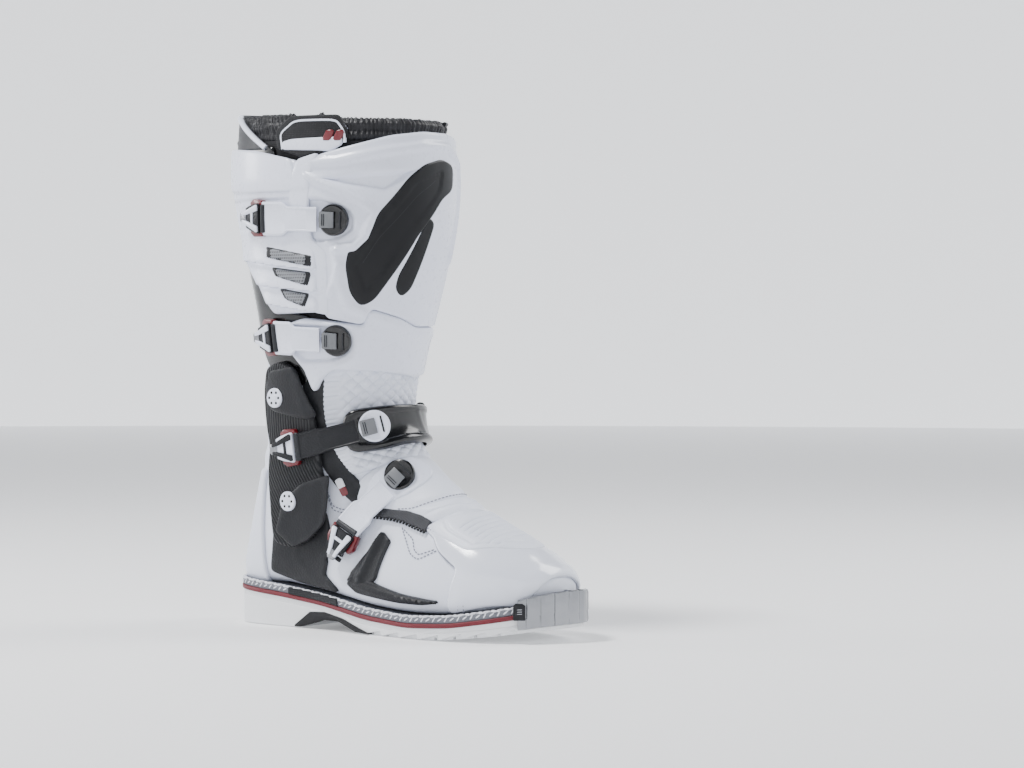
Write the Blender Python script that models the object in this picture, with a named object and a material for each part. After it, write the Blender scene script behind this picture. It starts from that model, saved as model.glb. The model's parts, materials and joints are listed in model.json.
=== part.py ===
"""Right off-road motorcycle boot, built as separate closed solids in one shared frame.

+X points to the toe, -Y to the outer (lateral) side and +Z up. The origin is the centre of the heel
tread's ground face. Sizes are in millimetres and become metres where a vertex is made.

The boot's skin is a loft of closed sections. A place on it is (s, t): s labels the section, from 400 at
the rim to -143 at the toe tip, and t is the angle round it, 0 at the front or top, 90 at the outer side
and 180 at the rear or underneath. Every panel is an outline in (s, t) between two heights above the skin.
"""
import math
from collections import namedtuple

import bmesh
import bpy
from mathutils import Matrix, Vector

MM = 0.001

# Driving dimensions. The sections and the sole outline are drawn for the DRAWN sizes and stretched.
FOOT_LENGTH = 294.0
BOOT_HEIGHT = 400.0
CALF_WIDTH = 126.0
DRAWN_LENGTH = 294.0
DRAWN_HEIGHT = 400.0
DRAWN_WIDTH = 126.0
STRETCH_X = FOOT_LENGTH / DRAWN_LENGTH
STRETCH_Y = CALF_WIDTH / DRAWN_WIDTH
STRETCH_Z = BOOT_HEIGHT / DRAWN_HEIGHT

# Walls and clearances.
LINER_WALL = 3.5
OVERLAY_WALL = 1.8
ARMOUR_WALL = 3.0
BRACE_WALL = 3.2
YOKE_WALL = 3.0
LAYER_GAP = 0.8
BRACE_GAP = 2.2
SEAT_GAP = 0.4
FOOTBED_WALL = 4.0

# Heights above the skin, stacked from the walls.
OVERLAY = (LAYER_GAP, LAYER_GAP + OVERLAY_WALL)
ARMOUR = (OVERLAY[1] + LAYER_GAP, OVERLAY[1] + LAYER_GAP + ARMOUR_WALL)
BRACE = (OVERLAY[1] + BRACE_GAP, OVERLAY[1] + BRACE_GAP + BRACE_WALL)
YOKE = (BRACE[1] + LAYER_GAP, BRACE[1] + LAYER_GAP + YOKE_WALL)

# Sole.
WELT_WALL = 5.0
RAND_WALL = 3.0
TREAD_WALL = 3.5
TOE_SPRING = 11.0
ARCH_RISE = 9.0
ARCH_X = (34.0, 96.0)
ARCH_RAMP = 12.0
ARCH_PLUG_SHARE = 0.35
WELT_OVERHANG = 1.5
TOE_GUARD_X = 226.0
TOE_GUARD_WALL = 2.4
TOE_GUARD_LIP = 5.5
TOE_GUARD_LIFT = 2.5
TREAD_INSET = 2.5
GROOVE_DEPTH = 2.2
GROOVE_WIDTH = 3.0
GROOVE_SLOPE = 0.6

# Buckles.
STRAP_WALL = 2.2
STRAP_WIDTH = 15.0
LEVER_LENGTH = 25.0
EAR_WALL = 2.4
PIN_RADIUS = 1.3
PIN_CLEARANCE = 0.35
KNUCKLE_RADIUS = 2.9
RECEIVER_RADIUS = 12.0
RECEIVER_HEIGHT = 4.0
LOCK_LENGTH = 11.0
LOCK_WIDTH = 12.0
LOCK_WALL = 1.6
PIVOT_RISE = 5.2

# Pivot bolts.
BOLT_HEAD_RADIUS = 8.5
BOLT_HEAD_HEIGHT = 2.2
BOLT_SHANK_RADIUS = 3.2
BOLT_CLEARANCE = 0.4
BOLT_TIP = 1.5
BOLT_SEAT = 1.2
LOWER_PIVOT = (33.0, 99.0)
UPPER_PIVOT = (24.0, 179.0)

COLUMN_STEP = 15.0
COLUMNS = 24
ON_LINE = 0.01

Section = namedtuple("Section", "s fx fz bx bz lateral medial middle front_power back_power centre")
SECTIONS = [
    Section(400, 127, 394, -40, 400, 64, 62, 0.0, 2.3, 2.2, 0),
    Section(345, 130, 340, -41, 345, 67, 64, 0.0, 2.3, 2.2, 0),
    Section(290, 123, 286, -32, 290, 63, 60, 0.0, 2.3, 2.2, 0),
    Section(240, 110, 237, -21, 238, 56, 53, 0.0, 2.3, 2.2, 0),
    Section(200, 101, 202, -16, 193, 50, 48, 0.0, 2.3, 2.2, 0),
    Section(165, 98, 172, -18, 152, 46, 44, 0.0, 2.3, 2.2, 0),
    Section(136, 104, 150, -26, 115, 44, 42, 0.0, 2.2, 2.2, 0),
    Section(108, 116, 135, -36, 76, 42, 40, 0.0, 2.2, 2.3, 0),
    Section(80, 131, 122, -41, 36, 40, 39, -0.10, 2.2, 2.6, 0),
    Section(45, 146, 111, 12, 32, 40, 37, -0.30, 2.1, 4.0, 0),
    Section(9, 163, 100, 60, 27, 43, 37, -0.40, 2.1, 5.0, 0),
    Section(-24, 180, 90, 105, 20, 48, 42, -0.45, 2.1, 5.0, 0),
    Section(-59, 198, 80, 150, 17, 50, 46, -0.50, 2.1, 5.0, 1),
    Section(-90, 216, 70, 190, 19, 47, 45, -0.50, 2.2, 5.0, 3),
    Section(-116, 233, 59, 222, 24, 37, 38, -0.50, 2.3, 4.0, 5),
    Section(-135, 246, 47, 243, 28, 22, 24, -0.40, 2.3, 3.0, 7),
    Section(-143, 251, 38, 251, 33, 4, 4, -0.20, 2.2, 2.2, 8),
]

# Plan of the sole at the welt, x and y.
SOLE_PLAN = [
    (-47, 0), (-38, -25), (-15, -37), (50, -41), (110, -50), (160, -56), (205, -50), (240, -30),
    (258, 5), (250, 30), (215, 48), (170, 51), (110, 43), (55, 38), (0, 37), (-35, 27),
]
GROOVES = [-30, -14, 14, 112, 128, 144, 160, 176, 192, 208, 224]

MATERIALS = {
    "white_plastic": ((0.74, 0.76, 0.83, 1), 0.35, 0.0),
    "white_leather": ((0.72, 0.74, 0.81, 1), 0.50, 0.0),
    "white_mesh": ((0.66, 0.68, 0.74, 1), 0.75, 0.0),
    "black_plastic": ((0.028, 0.029, 0.034, 1), 0.45, 0.0),
    "black_gloss": ((0.015, 0.015, 0.018, 1), 0.18, 0.0),
    "dark_fabric": ((0.035, 0.036, 0.042, 1), 0.85, 0.0),
    "grey_plastic": ((0.22, 0.23, 0.25, 1), 0.45, 0.0),
    "red_plastic": ((0.42, 0.015, 0.045, 1), 0.40, 0.0),
    "white_rubber": ((0.74, 0.75, 0.78, 1), 0.60, 0.0),
    "black_rubber": ((0.03, 0.03, 0.033, 1), 0.70, 0.0),
    "steel": ((0.62, 0.63, 0.65, 1), 0.28, 1.0),
}


def clear_scene():
    """Remove every object that is already in the scene."""
    for item in list(bpy.data.objects):
        bpy.data.objects.remove(item, do_unlink=True)


def stretched(x, y, z):
    """Stretch a drawn point to the driving dimensions."""
    return Vector((x * STRETCH_X, y * STRETCH_Y, z * STRETCH_Z))


def section_point(section, degrees):
    """Return the point of one section at one angle."""
    cosine, sine = math.cos(math.radians(degrees)), math.sin(math.radians(degrees))
    power = section.front_power if cosine >= 0 else section.back_power
    along = abs(cosine) ** (2 / power)
    across = abs(sine) ** (2 / power)
    if cosine >= 0:
        q = section.middle + (1 - section.middle) * along
    else:
        q = section.middle - (1 + section.middle) * along
    side = -section.lateral if sine >= 0 else section.medial
    x = (section.fx + section.bx) / 2 + q * (section.fx - section.bx) / 2
    z = (section.fz + section.bz) / 2 + q * (section.fz - section.bz) / 2
    return stretched(x, section.centre + side * across, z)


def lattice():
    """Return the skin's points and outward normals, by section and column."""
    points = [[section_point(sec, COLUMN_STEP * c) for c in range(COLUMNS)] for sec in SECTIONS]
    normals = []
    last = len(points) - 1
    for r, ring in enumerate(points):
        centre = sum(ring, Vector()) / COLUMNS
        row = []
        for c in range(COLUMNS):
            down = points[min(r + 1, last)][c] - points[max(r - 1, 0)][c]
            around = ring[(c + 1) % COLUMNS] - ring[c - 1]
            normal = down.cross(around).normalized()
            row.append(normal if normal.dot(ring[c] - centre) > 0 else -normal)
        normals.append(row)
    return points, normals


POINTS, NORMALS = lattice()


def row_of(s):
    """Return the row number, with its fraction, of a section label."""
    for r in range(len(SECTIONS) - 1):
        upper, lower = SECTIONS[r].s, SECTIONS[r + 1].s
        if s >= lower or r == len(SECTIONS) - 2:
            return r + (upper - s) / (upper - lower)
    return 0.0


def blend(table, r, c):
    """Read a lattice table at a place, flat within each half cell."""
    i = min(max(int(math.floor(r)), 0), len(SECTIONS) - 2)
    j = int(math.floor(c))
    u, v = r - i, c - j
    near, across = table[i][j % COLUMNS], table[i][(j + 1) % COLUMNS]
    below, opposite = table[i + 1][j % COLUMNS], table[i + 1][(j + 1) % COLUMNS]
    if u + v <= 1:
        return near + (below - near) * u + (across - near) * v
    return opposite + (across - opposite) * (1 - u) + (below - opposite) * (1 - v)


def lift(r, c, height):
    """Return the point at a lattice place and a height above the skin."""
    return blend(POINTS, r, c) + blend(NORMALS, r, c) * height


def skin(s, t, height):
    """Return the point at (s, t) and a height above the skin."""
    return lift(row_of(s), t / COLUMN_STEP, height)


def skin_normal(s, t):
    """Return the outward direction at (s, t)."""
    return blend(NORMALS, row_of(s), t / COLUMN_STEP).normalized()


def snapped(value):
    """Move a lattice number that nearly lies on a line onto it."""
    return round(value) if abs(value - round(value)) < 2 * ON_LINE else value


def cut(sheet, point, direction, faces=None):
    """Split a flat sheet, or some of its faces, along a line."""
    chosen = sheet.faces[:] if faces is None else faces
    edges = {e for f in chosen for e in f.edges}
    verts = {v for f in chosen for v in f.verts}
    bmesh.ops.bisect_plane(
        sheet, geom=list(verts) + list(edges) + list(chosen), dist=ON_LINE, plane_co=point, plane_no=direction,
    )


def span(values):
    """Return the whole numbers strictly inside a list of values."""
    return range(math.floor(min(values)) + 1, math.ceil(max(values)))


def panel_sheet(outline, windows=()):
    """Return an outline in (s, t) as a flat sheet in lattice numbers, split along the lattice."""
    sheet = bmesh.new()
    places = [(snapped(row_of(s)), snapped(t / COLUMN_STEP)) for s, t in outline]
    sheet.faces.new([sheet.verts.new((r, c, 0)) for r, c in places])
    for r in span([p[0] for p in places]):
        cut(sheet, (r, 0, 0), (1, 0, 0))
    for c in span([p[1] for p in places]):
        cut(sheet, (0, c, 0), (0, 1, 0))
    for k in span([p[0] + p[1] for p in places]):
        cut(sheet, (k, 0, 0), (1, 1, 0))
    for window in windows:
        cut_window(sheet, [Vector((row_of(s), t / COLUMN_STEP, 0)) for s, t in window])
    return sheet


def cut_window(sheet, corners):
    """Remove the part of a sheet inside a convex window."""
    middle = sum(corners, Vector()) / len(corners)
    for a, b in zip(corners, corners[1:] + corners[:1]):
        reach = max((p - middle).length for p in corners) + 1.0
        near = [f for f in sheet.faces if (f.calc_center_median() - middle).length < reach]
        cut(sheet, a, (b - a).cross(Vector((0, 0, 1))), near)
    def inside(point):
        sides = [(b - a).cross(point - a).z for a, b in zip(corners, corners[1:] + corners[:1])]
        return all(x > 0 for x in sides) or all(x < 0 for x in sides)
    gone = [f for f in sheet.faces if inside(f.calc_center_median())]
    bmesh.ops.delete(sheet, geom=gone, context="FACES")


def finish_mesh(mesh):
    """Merge doubled vertices and face every face outward."""
    bmesh.ops.remove_doubles(mesh, verts=mesh.verts, dist=1e-6)
    bmesh.ops.recalc_face_normals(mesh, faces=mesh.faces)
    return mesh


def thicken(sheet, low, high, seam=None):
    """Turn a flat sheet into a closed solid between two surfaces.

    low and high map a sheet place to a point in millimetres. An edge for which seam is true gets no wall.
    """
    mesh = bmesh.new()
    lows = {v: mesh.verts.new(low(v.co) * MM) for v in sheet.verts}
    highs = {v: mesh.verts.new(high(v.co) * MM) for v in sheet.verts}
    for face in sheet.faces:
        mesh.faces.new([highs[v] for v in face.verts])
        mesh.faces.new([lows[v] for v in reversed(face.verts)])
    for edge in sheet.edges:
        if edge.is_boundary and not (seam and seam(edge)):
            a, b = edge.verts
            mesh.faces.new((lows[a], lows[b], highs[b], highs[a]))
    sheet.free()
    return finish_mesh(mesh)


def material(name):
    """Return one of the boot's materials, made the first time that it is asked for."""
    found = bpy.data.materials.get(name)
    if found:
        return found
    colour, roughness, metallic = MATERIALS[name]
    made = bpy.data.materials.new(name)
    made.use_nodes = True
    shader = made.node_tree.nodes["Principled BSDF"]
    shader.inputs["Base Color"].default_value = colour
    shader.inputs["Roughness"].default_value = roughness
    shader.inputs["Metallic"].default_value = metallic
    return made


def make_object(name, mesh, look, frame=None, parent=None, smooth=False):
    """Add a mesh, given in world space, as an object whose own frame and parent are given."""
    data = bpy.data.meshes.new(name)
    mesh.to_mesh(data)
    mesh.free()
    frame = frame or Matrix.Identity(4)
    data.transform(frame.inverted())
    if smooth:
        data.shade_smooth()
        data.set_sharp_from_angle(angle=math.radians(40))
    data.materials.append(material(look))
    item = bpy.data.objects.new(name, data)
    bpy.context.scene.collection.objects.link(item)
    set_parent(item, parent, frame)
    return item


def set_parent(item, parent, frame):
    """Place an item in world space under a parent."""
    item.parent = parent
    if parent:
        item.matrix_parent_inverse = Matrix.Identity(4)
        item.matrix_basis = world_of(parent).inverted() @ frame
    else:
        item.matrix_basis = frame


def world_of(item):
    """Return an item's world matrix from its own placement and its parents'."""
    return world_of(item.parent) @ item.matrix_basis if item.parent else item.matrix_basis.copy()


def joint_empty(name, frame, parent=None):
    """Add an empty on a joint's axis, which is the empty's own Y axis."""
    item = bpy.data.objects.new(name, None)
    item.empty_display_size = 0.01
    bpy.context.scene.collection.objects.link(item)
    set_parent(item, parent, frame)
    return item


def frame_of(origin, along, up):
    """Return a frame in metres with X along a direction and Z nearest to another."""
    x = along.normalized()
    y = up.cross(x).normalized()
    z = x.cross(y)
    frame = Matrix((x, y, z)).transposed().to_4x4()
    frame.translation = origin * MM
    return frame


def panel(name, outline, heights, look, parent=None, windows=()):
    """Add a panel on the skin, in its parent's frame."""
    low, high = heights
    mesh = thicken(
        panel_sheet(outline, windows),
        lambda p: lift(p.x, p.y, low),
        lambda p: lift(p.x, p.y, high),
    )
    return make_object(name, mesh, look, world_of(parent) if parent else None, parent)


def band_sheet(top, bottom):
    """Return the sheet of a band right round the boot between two edges given as (s, t) points."""
    return panel_sheet(top + bottom[::-1])


def on_seam(edge):
    """Tell whether a sheet edge lies where a band closes on itself."""
    return all(abs(abs(v.co.y) - COLUMNS / 2) < ON_LINE for v in edge.verts)


def band(name, top, bottom, heights, look, parent=None):
    """Add a closed band round the boot."""
    low, high = heights
    mesh = thicken(
        band_sheet(top, bottom), lambda p: lift(p.x, p.y, low), lambda p: lift(p.x, p.y, high), on_seam
    )
    return make_object(name, mesh, look, world_of(parent) if parent else None, parent)


def sock(name, top, look, parent=None):
    """Add the foot's shell: a band from an edge down to a closed toe, hollow inside."""
    mesh = bmesh.new()
    rims = []
    for height, last in ((0.0, SECTIONS[-1].s), (-LINER_WALL, SECTIONS[-3].s)):
        sheet = band_sheet(top, [(last, -180), (last, 180)])
        made = {v: mesh.verts.new(lift(v.co.x, v.co.y, height) * MM) for v in sheet.verts}
        for face in sheet.faces:
            mesh.faces.new([made[v] for v in face.verts])
        end = row_of(last)
        edges = [e for e in sheet.edges if e.is_boundary and not on_seam(e)]
        toe = [e for e in edges if all(abs(v.co.x - end) < ON_LINE for v in e.verts)]
        loop = sorted({v for e in toe for v in e.verts}, key=lambda v: v.co.y)[:-1]
        rim = sorted({v for e in edges if e not in toe for v in e.verts}, key=lambda v: v.co.y)
        rims.append([made[v] for v in rim])
        mesh.faces.new([made[v] for v in loop])
        bmesh.ops.remove_doubles(mesh, verts=[made[v] for v in sheet.verts], dist=1e-6)
        sheet.free()
    outer, inner = ([v for v in rim if v.is_valid] for rim in rims)
    for k in range(len(outer)):
        n = (k + 1) % len(outer)
        mesh.faces.new((outer[k], outer[n], inner[n], inner[k]))
    return make_object(name, finish_mesh(mesh), look, None, parent)


def smooth_loop(points, steps=3):
    """Return a closed curve through points, as a Catmull-Rom spline."""
    out = []
    count = len(points)
    for k in range(count):
        p0, p1, p2, p3 = (Vector(points[(k + i - 1) % count]) for i in range(4))
        for i in range(steps):
            u = i / steps
            out.append(
                0.5 * (2 * p1 + (p2 - p0) * u + (2 * p0 - 5 * p1 + 4 * p2 - p3) * u ** 2
                       + (3 * p1 - p0 - 3 * p2 + p3) * u ** 3)
            )
    return out


def grown(loop, distance):
    """Return a closed outline moved outward by a distance, or inward by a negative one."""
    out = []
    for k, point in enumerate(loop):
        along = (loop[(k + 1) % len(loop)] - loop[k - 1]).normalized()
        out.append(point + Vector((-along.y, along.x)) * -distance)
    return out


def level(table, x):
    """Read a height from a table of (x, z) pairs."""
    for (x0, z0), (x1, z1) in zip(table, table[1:]):
        if x <= x1:
            return z0 + (z1 - z0) * max(0.0, (x - x0) / (x1 - x0))
    return table[-1][1]


def sole_tables():
    """Return the sole's levels along its length: welt top, ground line and the x of every bend."""
    under = [(sec.bx * STRETCH_X, sec.bz * STRETCH_Z - SEAT_GAP) for sec in SECTIONS if sec.s <= 80]
    behind, ahead = -60 * STRETCH_X, 275 * STRETCH_X
    under = [(behind, under[0][1])] + under + [(ahead, under[-1][1] + 1.0)]
    bends = [(178, 0), (222, TOE_SPRING * 0.45), (262, TOE_SPRING)]
    return under, [(behind, 0)] + [(x * STRETCH_X, z) for x, z in bends]


WELT_TOP, GROUND = sole_tables()
SOLE_LOOP = [Vector(stretched(x, y, 0).xy) for x, y in smooth_loop(SOLE_PLAN)]
BENDS = sorted({x for x, _ in WELT_TOP[1:-1]} | {x for x, _ in GROUND[1:-1]})


def slab(name, loop, bottom, top, look, cuts=(), parent=None):
    """Add a layer of the sole between two heights given as functions of x."""
    sheet = bmesh.new()
    sheet.faces.new([sheet.verts.new((p.x, p.y, 0)) for p in loop])
    lengths = [p.x for p in loop]
    for x in sorted(set(BENDS) | set(cuts)):
        if min(lengths) < x < max(lengths):
            cut(sheet, (x, 0, 0), (1, 0, 0))
    mesh = thicken(
        sheet,
        lambda p: Vector((p.x, p.y, bottom(p.x))),
        lambda p: Vector((p.x, p.y, top(p.x))),
    )
    return make_object(name, mesh, look, None, parent)


def clipped(loop, low, high):
    """Keep the part of an outline between two x values."""
    sheet = bmesh.new()
    sheet.faces.new([sheet.verts.new((p.x, p.y, 0)) for p in loop])
    for x, keep in ((low, 1), (high, -1)):
        geometry = sheet.verts[:] + sheet.edges[:] + sheet.faces[:]
        bmesh.ops.bisect_plane(
            sheet, geom=geometry, dist=ON_LINE, plane_co=(x, 0, 0), plane_no=(-keep, 0, 0), clear_outer=True
        )
    out = [Vector(v.co.xy) for v in sheet.faces[:][0].verts]
    sheet.free()
    return out


def make_sole():
    """Add the welt, the rand, the cupsole, its two treads, the arch plug and the toe guard."""
    arch = [x * STRETCH_X for x in ARCH_X]
    ramp = ARCH_RAMP * STRETCH_X

    def rand_top(x):
        return level(WELT_TOP, x) - WELT_WALL - SEAT_GAP

    def cup_top(x):
        return rand_top(x) - RAND_WALL - SEAT_GAP

    def cup_bottom(x):
        rise = min(1.0, max(0.0, (x - arch[0]) / ramp), max(0.0, (arch[1] - x) / ramp))
        return level(GROUND, x) + TREAD_WALL + SEAT_GAP + ARCH_RISE * rise

    def tread_bottom(x):
        for groove in GROOVES:
            from_middle = abs(x - groove * STRETCH_X)
            depth = min((GROOVE_WIDTH / 2 - from_middle) / GROOVE_SLOPE, 1.0)
            if depth > 0:
                return level(GROUND, x) + GROOVE_DEPTH * depth
        return level(GROUND, x)

    def tread_top(x):
        return level(GROUND, x) + TREAD_WALL

    halves = (GROOVE_WIDTH / 2, GROOVE_WIDTH / 2 - GROOVE_SLOPE)
    edges = [g * STRETCH_X + side * half for g in GROOVES for side in (-1, 1) for half in halves]
    arch_cuts = [arch[0], arch[0] + ramp, arch[1] - ramp, arch[1]]
    welt_loop = grown(SOLE_LOOP, WELT_OVERHANG)
    slab(
        "welt", welt_loop, lambda x: level(WELT_TOP, x) - WELT_WALL, lambda x: level(WELT_TOP, x), "white_rubber",
    )
    slab("rand", SOLE_LOOP, lambda x: rand_top(x) - RAND_WALL, rand_top, "red_plastic")
    slab("cupsole", SOLE_LOOP, cup_bottom, cup_top, "white_rubber", arch_cuts)
    tread_loop = grown(SOLE_LOOP, -TREAD_INSET)
    heel = clipped(tread_loop, -80 * STRETCH_X, arch[0] - 2)
    fore = clipped(tread_loop, arch[1] + 2, 300 * STRETCH_X)
    slab("heel_tread", heel, tread_bottom, tread_top, "black_rubber", edges)
    slab("fore_tread", fore, tread_bottom, tread_top, "black_rubber", edges)
    plug = clipped(grown(SOLE_LOOP, -1.0), arch[0] + ramp + 1, arch[1] - ramp - 1)
    slab(
        "arch_plug", plug,
        lambda x: level(GROUND, x) + TREAD_WALL + SEAT_GAP + ARCH_RISE * ARCH_PLUG_SHARE,
        lambda x: cup_bottom(x) - SEAT_GAP, "black_rubber",
    )
    make_toe_guard(welt_loop)


def make_toe_guard(welt_loop):
    """Add the metal band that wraps the sole's toe."""
    start = TOE_GUARD_X * STRETCH_X
    inner, outer = grown(welt_loop, SEAT_GAP), grown(welt_loop, SEAT_GAP + TOE_GUARD_WALL)
    order = sorted((k for k, p in enumerate(welt_loop) if p.x > start), key=lambda k: welt_loop[k].y)
    crescent = [outer[k] for k in order] + [inner[k] for k in reversed(order)]
    slab(
        "toe_guard", crescent,
        lambda x: level(GROUND, x) + TOE_GUARD_LIFT,
        lambda x: level(WELT_TOP, x) + TOE_GUARD_LIP,
        "steel",
    )


def mirrored(outline):
    """Return an outline on the other side of the boot."""
    return [(s, -t) for s, t in outline]


# Panel outlines in (s, t). The shell edges run right round.
FOOT_RIM = [(140, -180), (140, -135), (120, -90), (106, -60), (106, 60), (120, 90), (140, 135), (140, 180)]
SHAFT_HEM = [(224, -180), (224, -150), (204, -105), (200, -75), (200, 75), (204, 105), (224, 150), (224, 180)]
TOE_CAP = [(-10, 0), (-8, 46), (-40, 54), (-72, 64), (-83, 120), (-128, 110), (-133, 60), (-134, 0),
           (-133, -60), (-128, -110), (-83, -120), (-72, -64), (-40, -54), (-8, -46)]
WEDGE = [(22, 63), (8, 66), (-12, 89), (-72, 91), (-48, 99), (-9, 106), (2, 98), (14, 86)]
SIDE_PANEL = [(113, 108), (113, 90), (85, 78), (50, 84), (16, 108), (8, 120), (44, 122), (60, 118)]
HEEL_COUNTER = [(134, 132), (135, 180), (134, 228), (92, 228), (92, 180), (92, 132)]
HEEL_TRIM = [(95, 196), (128, 196), (130, 226), (95, 226)]
INSTEP_PLATE = [(101, 6), (104, 34), (92, 52), (70, 56), (52, 40), (60, 10)]
BRACE_SIDE = [(188, 122), (150, 112), (109, 108), (80, 99), (70, 88), (75, 80), (102, 76), (140, 76),
              (164, 79), (184, 88), (203, 92), (206, 100), (200, 112)]
YOKE_PANEL = [(164, 52), (163, 0), (166, -80), (138, -82), (124, -40), (120, 0), (124, 30), (128, 52)]
FLEX_FRONT_LOW = [(150, -88), (150, 88), (119.9, 88), (107.2, 60), (107.2, -60), (119.9, -88)]
FLEX_FRONT_UP = [(199.2, -75), (199.2, 75), (200.9, 88), (150.6, 88), (150.6, -88), (200.9, -88)]
FLEX_REAR_LOW = [(170, 90), (170, 270), (120.7, 270), (140.6, 225), (140.6, 135), (120.7, 90)]
FLEX_REAR_UP = [(201.2, 90), (203.2, 105), (223.3, 150), (223.3, 210), (203.2, 255), (201.2, 270),
                (170.6, 270), (170.6, 90)]
CALF_PLATE = [(372, 98), (374, 180), (372, 234), (340, 229), (262, 239), (212, 265), (190, 262), (200, 248),
              (228, 212), (228, 148), (200, 114), (190, 98), (192, 84), (243, 80), (250, 104), (304, 108)]
CUFF_BAND = [(376, 104), (396, 128), (398, 180), (396, 240), (384, 252), (377, 252), (377, 180)]
WING = [(372, 142), (369, 106), (360, 84), (330, 83), (300, 82), (296, 73.5), (249, 72), (248, 104), (255, 109),
        (269, 116), (286, 130), (305, 134), (341, 143)]
VENTS = [
    [(297, 101), (291, 77), (283, 77), (289, 101)],
    [(281, 99), (278, 78), (269, 79), (275, 97)],
    [(265, 95), (262, 79), (253, 81), (258, 92)],
]
VENT_MESH = [(302, 104), (298, 76), (252, 76), (254, 101)]
MEDIAL_FRAME = [(374, -62), (374, -122), (340, -128), (262, -118), (212, -92), (212, -70), (240, -60),
                (300, -60)]
MEDIAL_GRIP = [(366, -70), (366, -114), (338, -119), (268, -110), (246, -94), (250, -78), (300, -70)]
SHIN_UPPER = [(360, 80), (368, 68), (375, 50), (381, 32), (386, 0), (384, -30), (374, -57), (340, -58),
              (290, -58), (240, -58), (240, 0), (248, 14), (254, 38), (241, 42), (245, 68), (296, 71),
              (300, 79), (330, 80)]
SHIN_LOWER = [(237, -58), (237, 0), (244, 14), (249, 36), (236, 40), (241, 70), (238, 96), (218, 92), (196, 74),
              (203, 62), (197, 0), (206, -56)]
BLADE = [(362, -6), (344, 16), (318, 37), (288, 54), (268, 52), (258, 44), (260, 36), (289, 23), (324, 5),
         (345, -8)]
FLAP_HINGE_T = 55.0
COLLAR_FLAP = [(373, 95), (386, 96), (396, 88), (396, 62), (386, 56), (379, 57), (372, 70), (366, 82)]
FOOTBED = [(62, 120), (62, 240), (-110, 232), (-110, 128)]


def pivot_seat(place, side):
    """Return where a pivot's axis leaves the brace plate on one side, and the way out."""
    x, z = stretched(place[0], 0, place[1]).xz
    best = min(
        ((r / 20, c / 4) for r in range(60, 170) for c in range(16, 36)),
        key=lambda rc: (lift(rc[0], side * rc[1], BRACE[1]).xz - Vector((x, z))).length,
    )
    y = lift(best[0], side * best[1], BRACE[1]).y
    return Vector((x, y, z)), Vector((0, -side, 0))


def turned(profile, origin, axis, segments=16):
    """Return a solid turned from (radius, height) points round an axis."""
    mesh = bmesh.new()
    turn = axis.to_track_quat("Z", "Y").to_matrix()
    line = [mesh.verts.new((r * MM, 0, h * MM)) for r, h in profile]
    edges = [mesh.edges.new(pair) for pair in zip(line, line[1:])]
    bmesh.ops.spin(
        mesh, geom=line + edges, cent=(0, 0, 0), axis=(0, 0, 1), angle=2 * math.pi, steps=segments,
        use_merge=True,
    )
    frame = turn.to_4x4()
    frame.translation = origin * MM
    bmesh.ops.remove_doubles(mesh, verts=mesh.verts, dist=1e-6)
    mesh.transform(frame)
    return finish_mesh(mesh)


def prism(profile, half_width, frame):
    """Return a solid from an outline in a frame's X and Z, as wide as given along its Y."""
    mesh = bmesh.new()
    face = mesh.faces.new([mesh.verts.new((x * MM, -half_width * MM, z * MM)) for x, z in profile])
    sides = bmesh.ops.extrude_face_region(mesh, geom=[face])["geom"]
    moved = [v for v in sides if isinstance(v, bmesh.types.BMVert)]
    bmesh.ops.translate(mesh, verts=moved, vec=(0, 2 * half_width * MM, 0))
    mesh.transform(frame)
    return finish_mesh(mesh)


def combine(target, tool_mesh, operation):
    """Cut a tool from an object, or join it to the object, with a Boolean modifier."""
    tool = make_object(f"tool_{target.name}_{len(target.modifiers)}", tool_mesh, "grey_plastic", None, target)
    tool.hide_render = True
    tool.display_type = "WIRE"
    modifier = target.modifiers.new("Boolean", "BOOLEAN")
    modifier.operation = operation
    modifier.object = tool


def rectangle(x0, x1, z0, z1):
    """Return the corners of a rectangle."""
    return [(x0, z0), (x1, z0), (x1, z1), (x0, z1)]


def bolt(name, place, side, parent):
    """Add one pivot bolt and cut its hole in the brace plate that it holds."""
    seat, outward = pivot_seat(place, side)
    shank = seat - outward * (BRACE_WALL + BOLT_TIP)
    under = BRACE_WALL + BOLT_TIP + BOLT_SEAT
    top = under + BOLT_HEAD_HEIGHT
    profile = [
        (0, 0), (BOLT_SHANK_RADIUS, 0), (BOLT_SHANK_RADIUS, under), (BOLT_HEAD_RADIUS, under),
        (BOLT_HEAD_RADIUS, top - 0.7), (BOLT_HEAD_RADIUS - 0.8, top), (0, top),
    ]
    frame = Matrix.Translation(seat * MM)
    make_object(name, turned(profile, shank, outward), "white_plastic", frame, parent, smooth=True)
    hole = BOLT_SHANK_RADIUS + BOLT_CLEARANCE
    reach = BRACE_WALL + 6
    cutter = [(0, 0), (hole, 0), (hole, 2 * reach), (0, 2 * reach)]
    return turned(cutter, seat - outward * reach, outward, 12)


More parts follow.
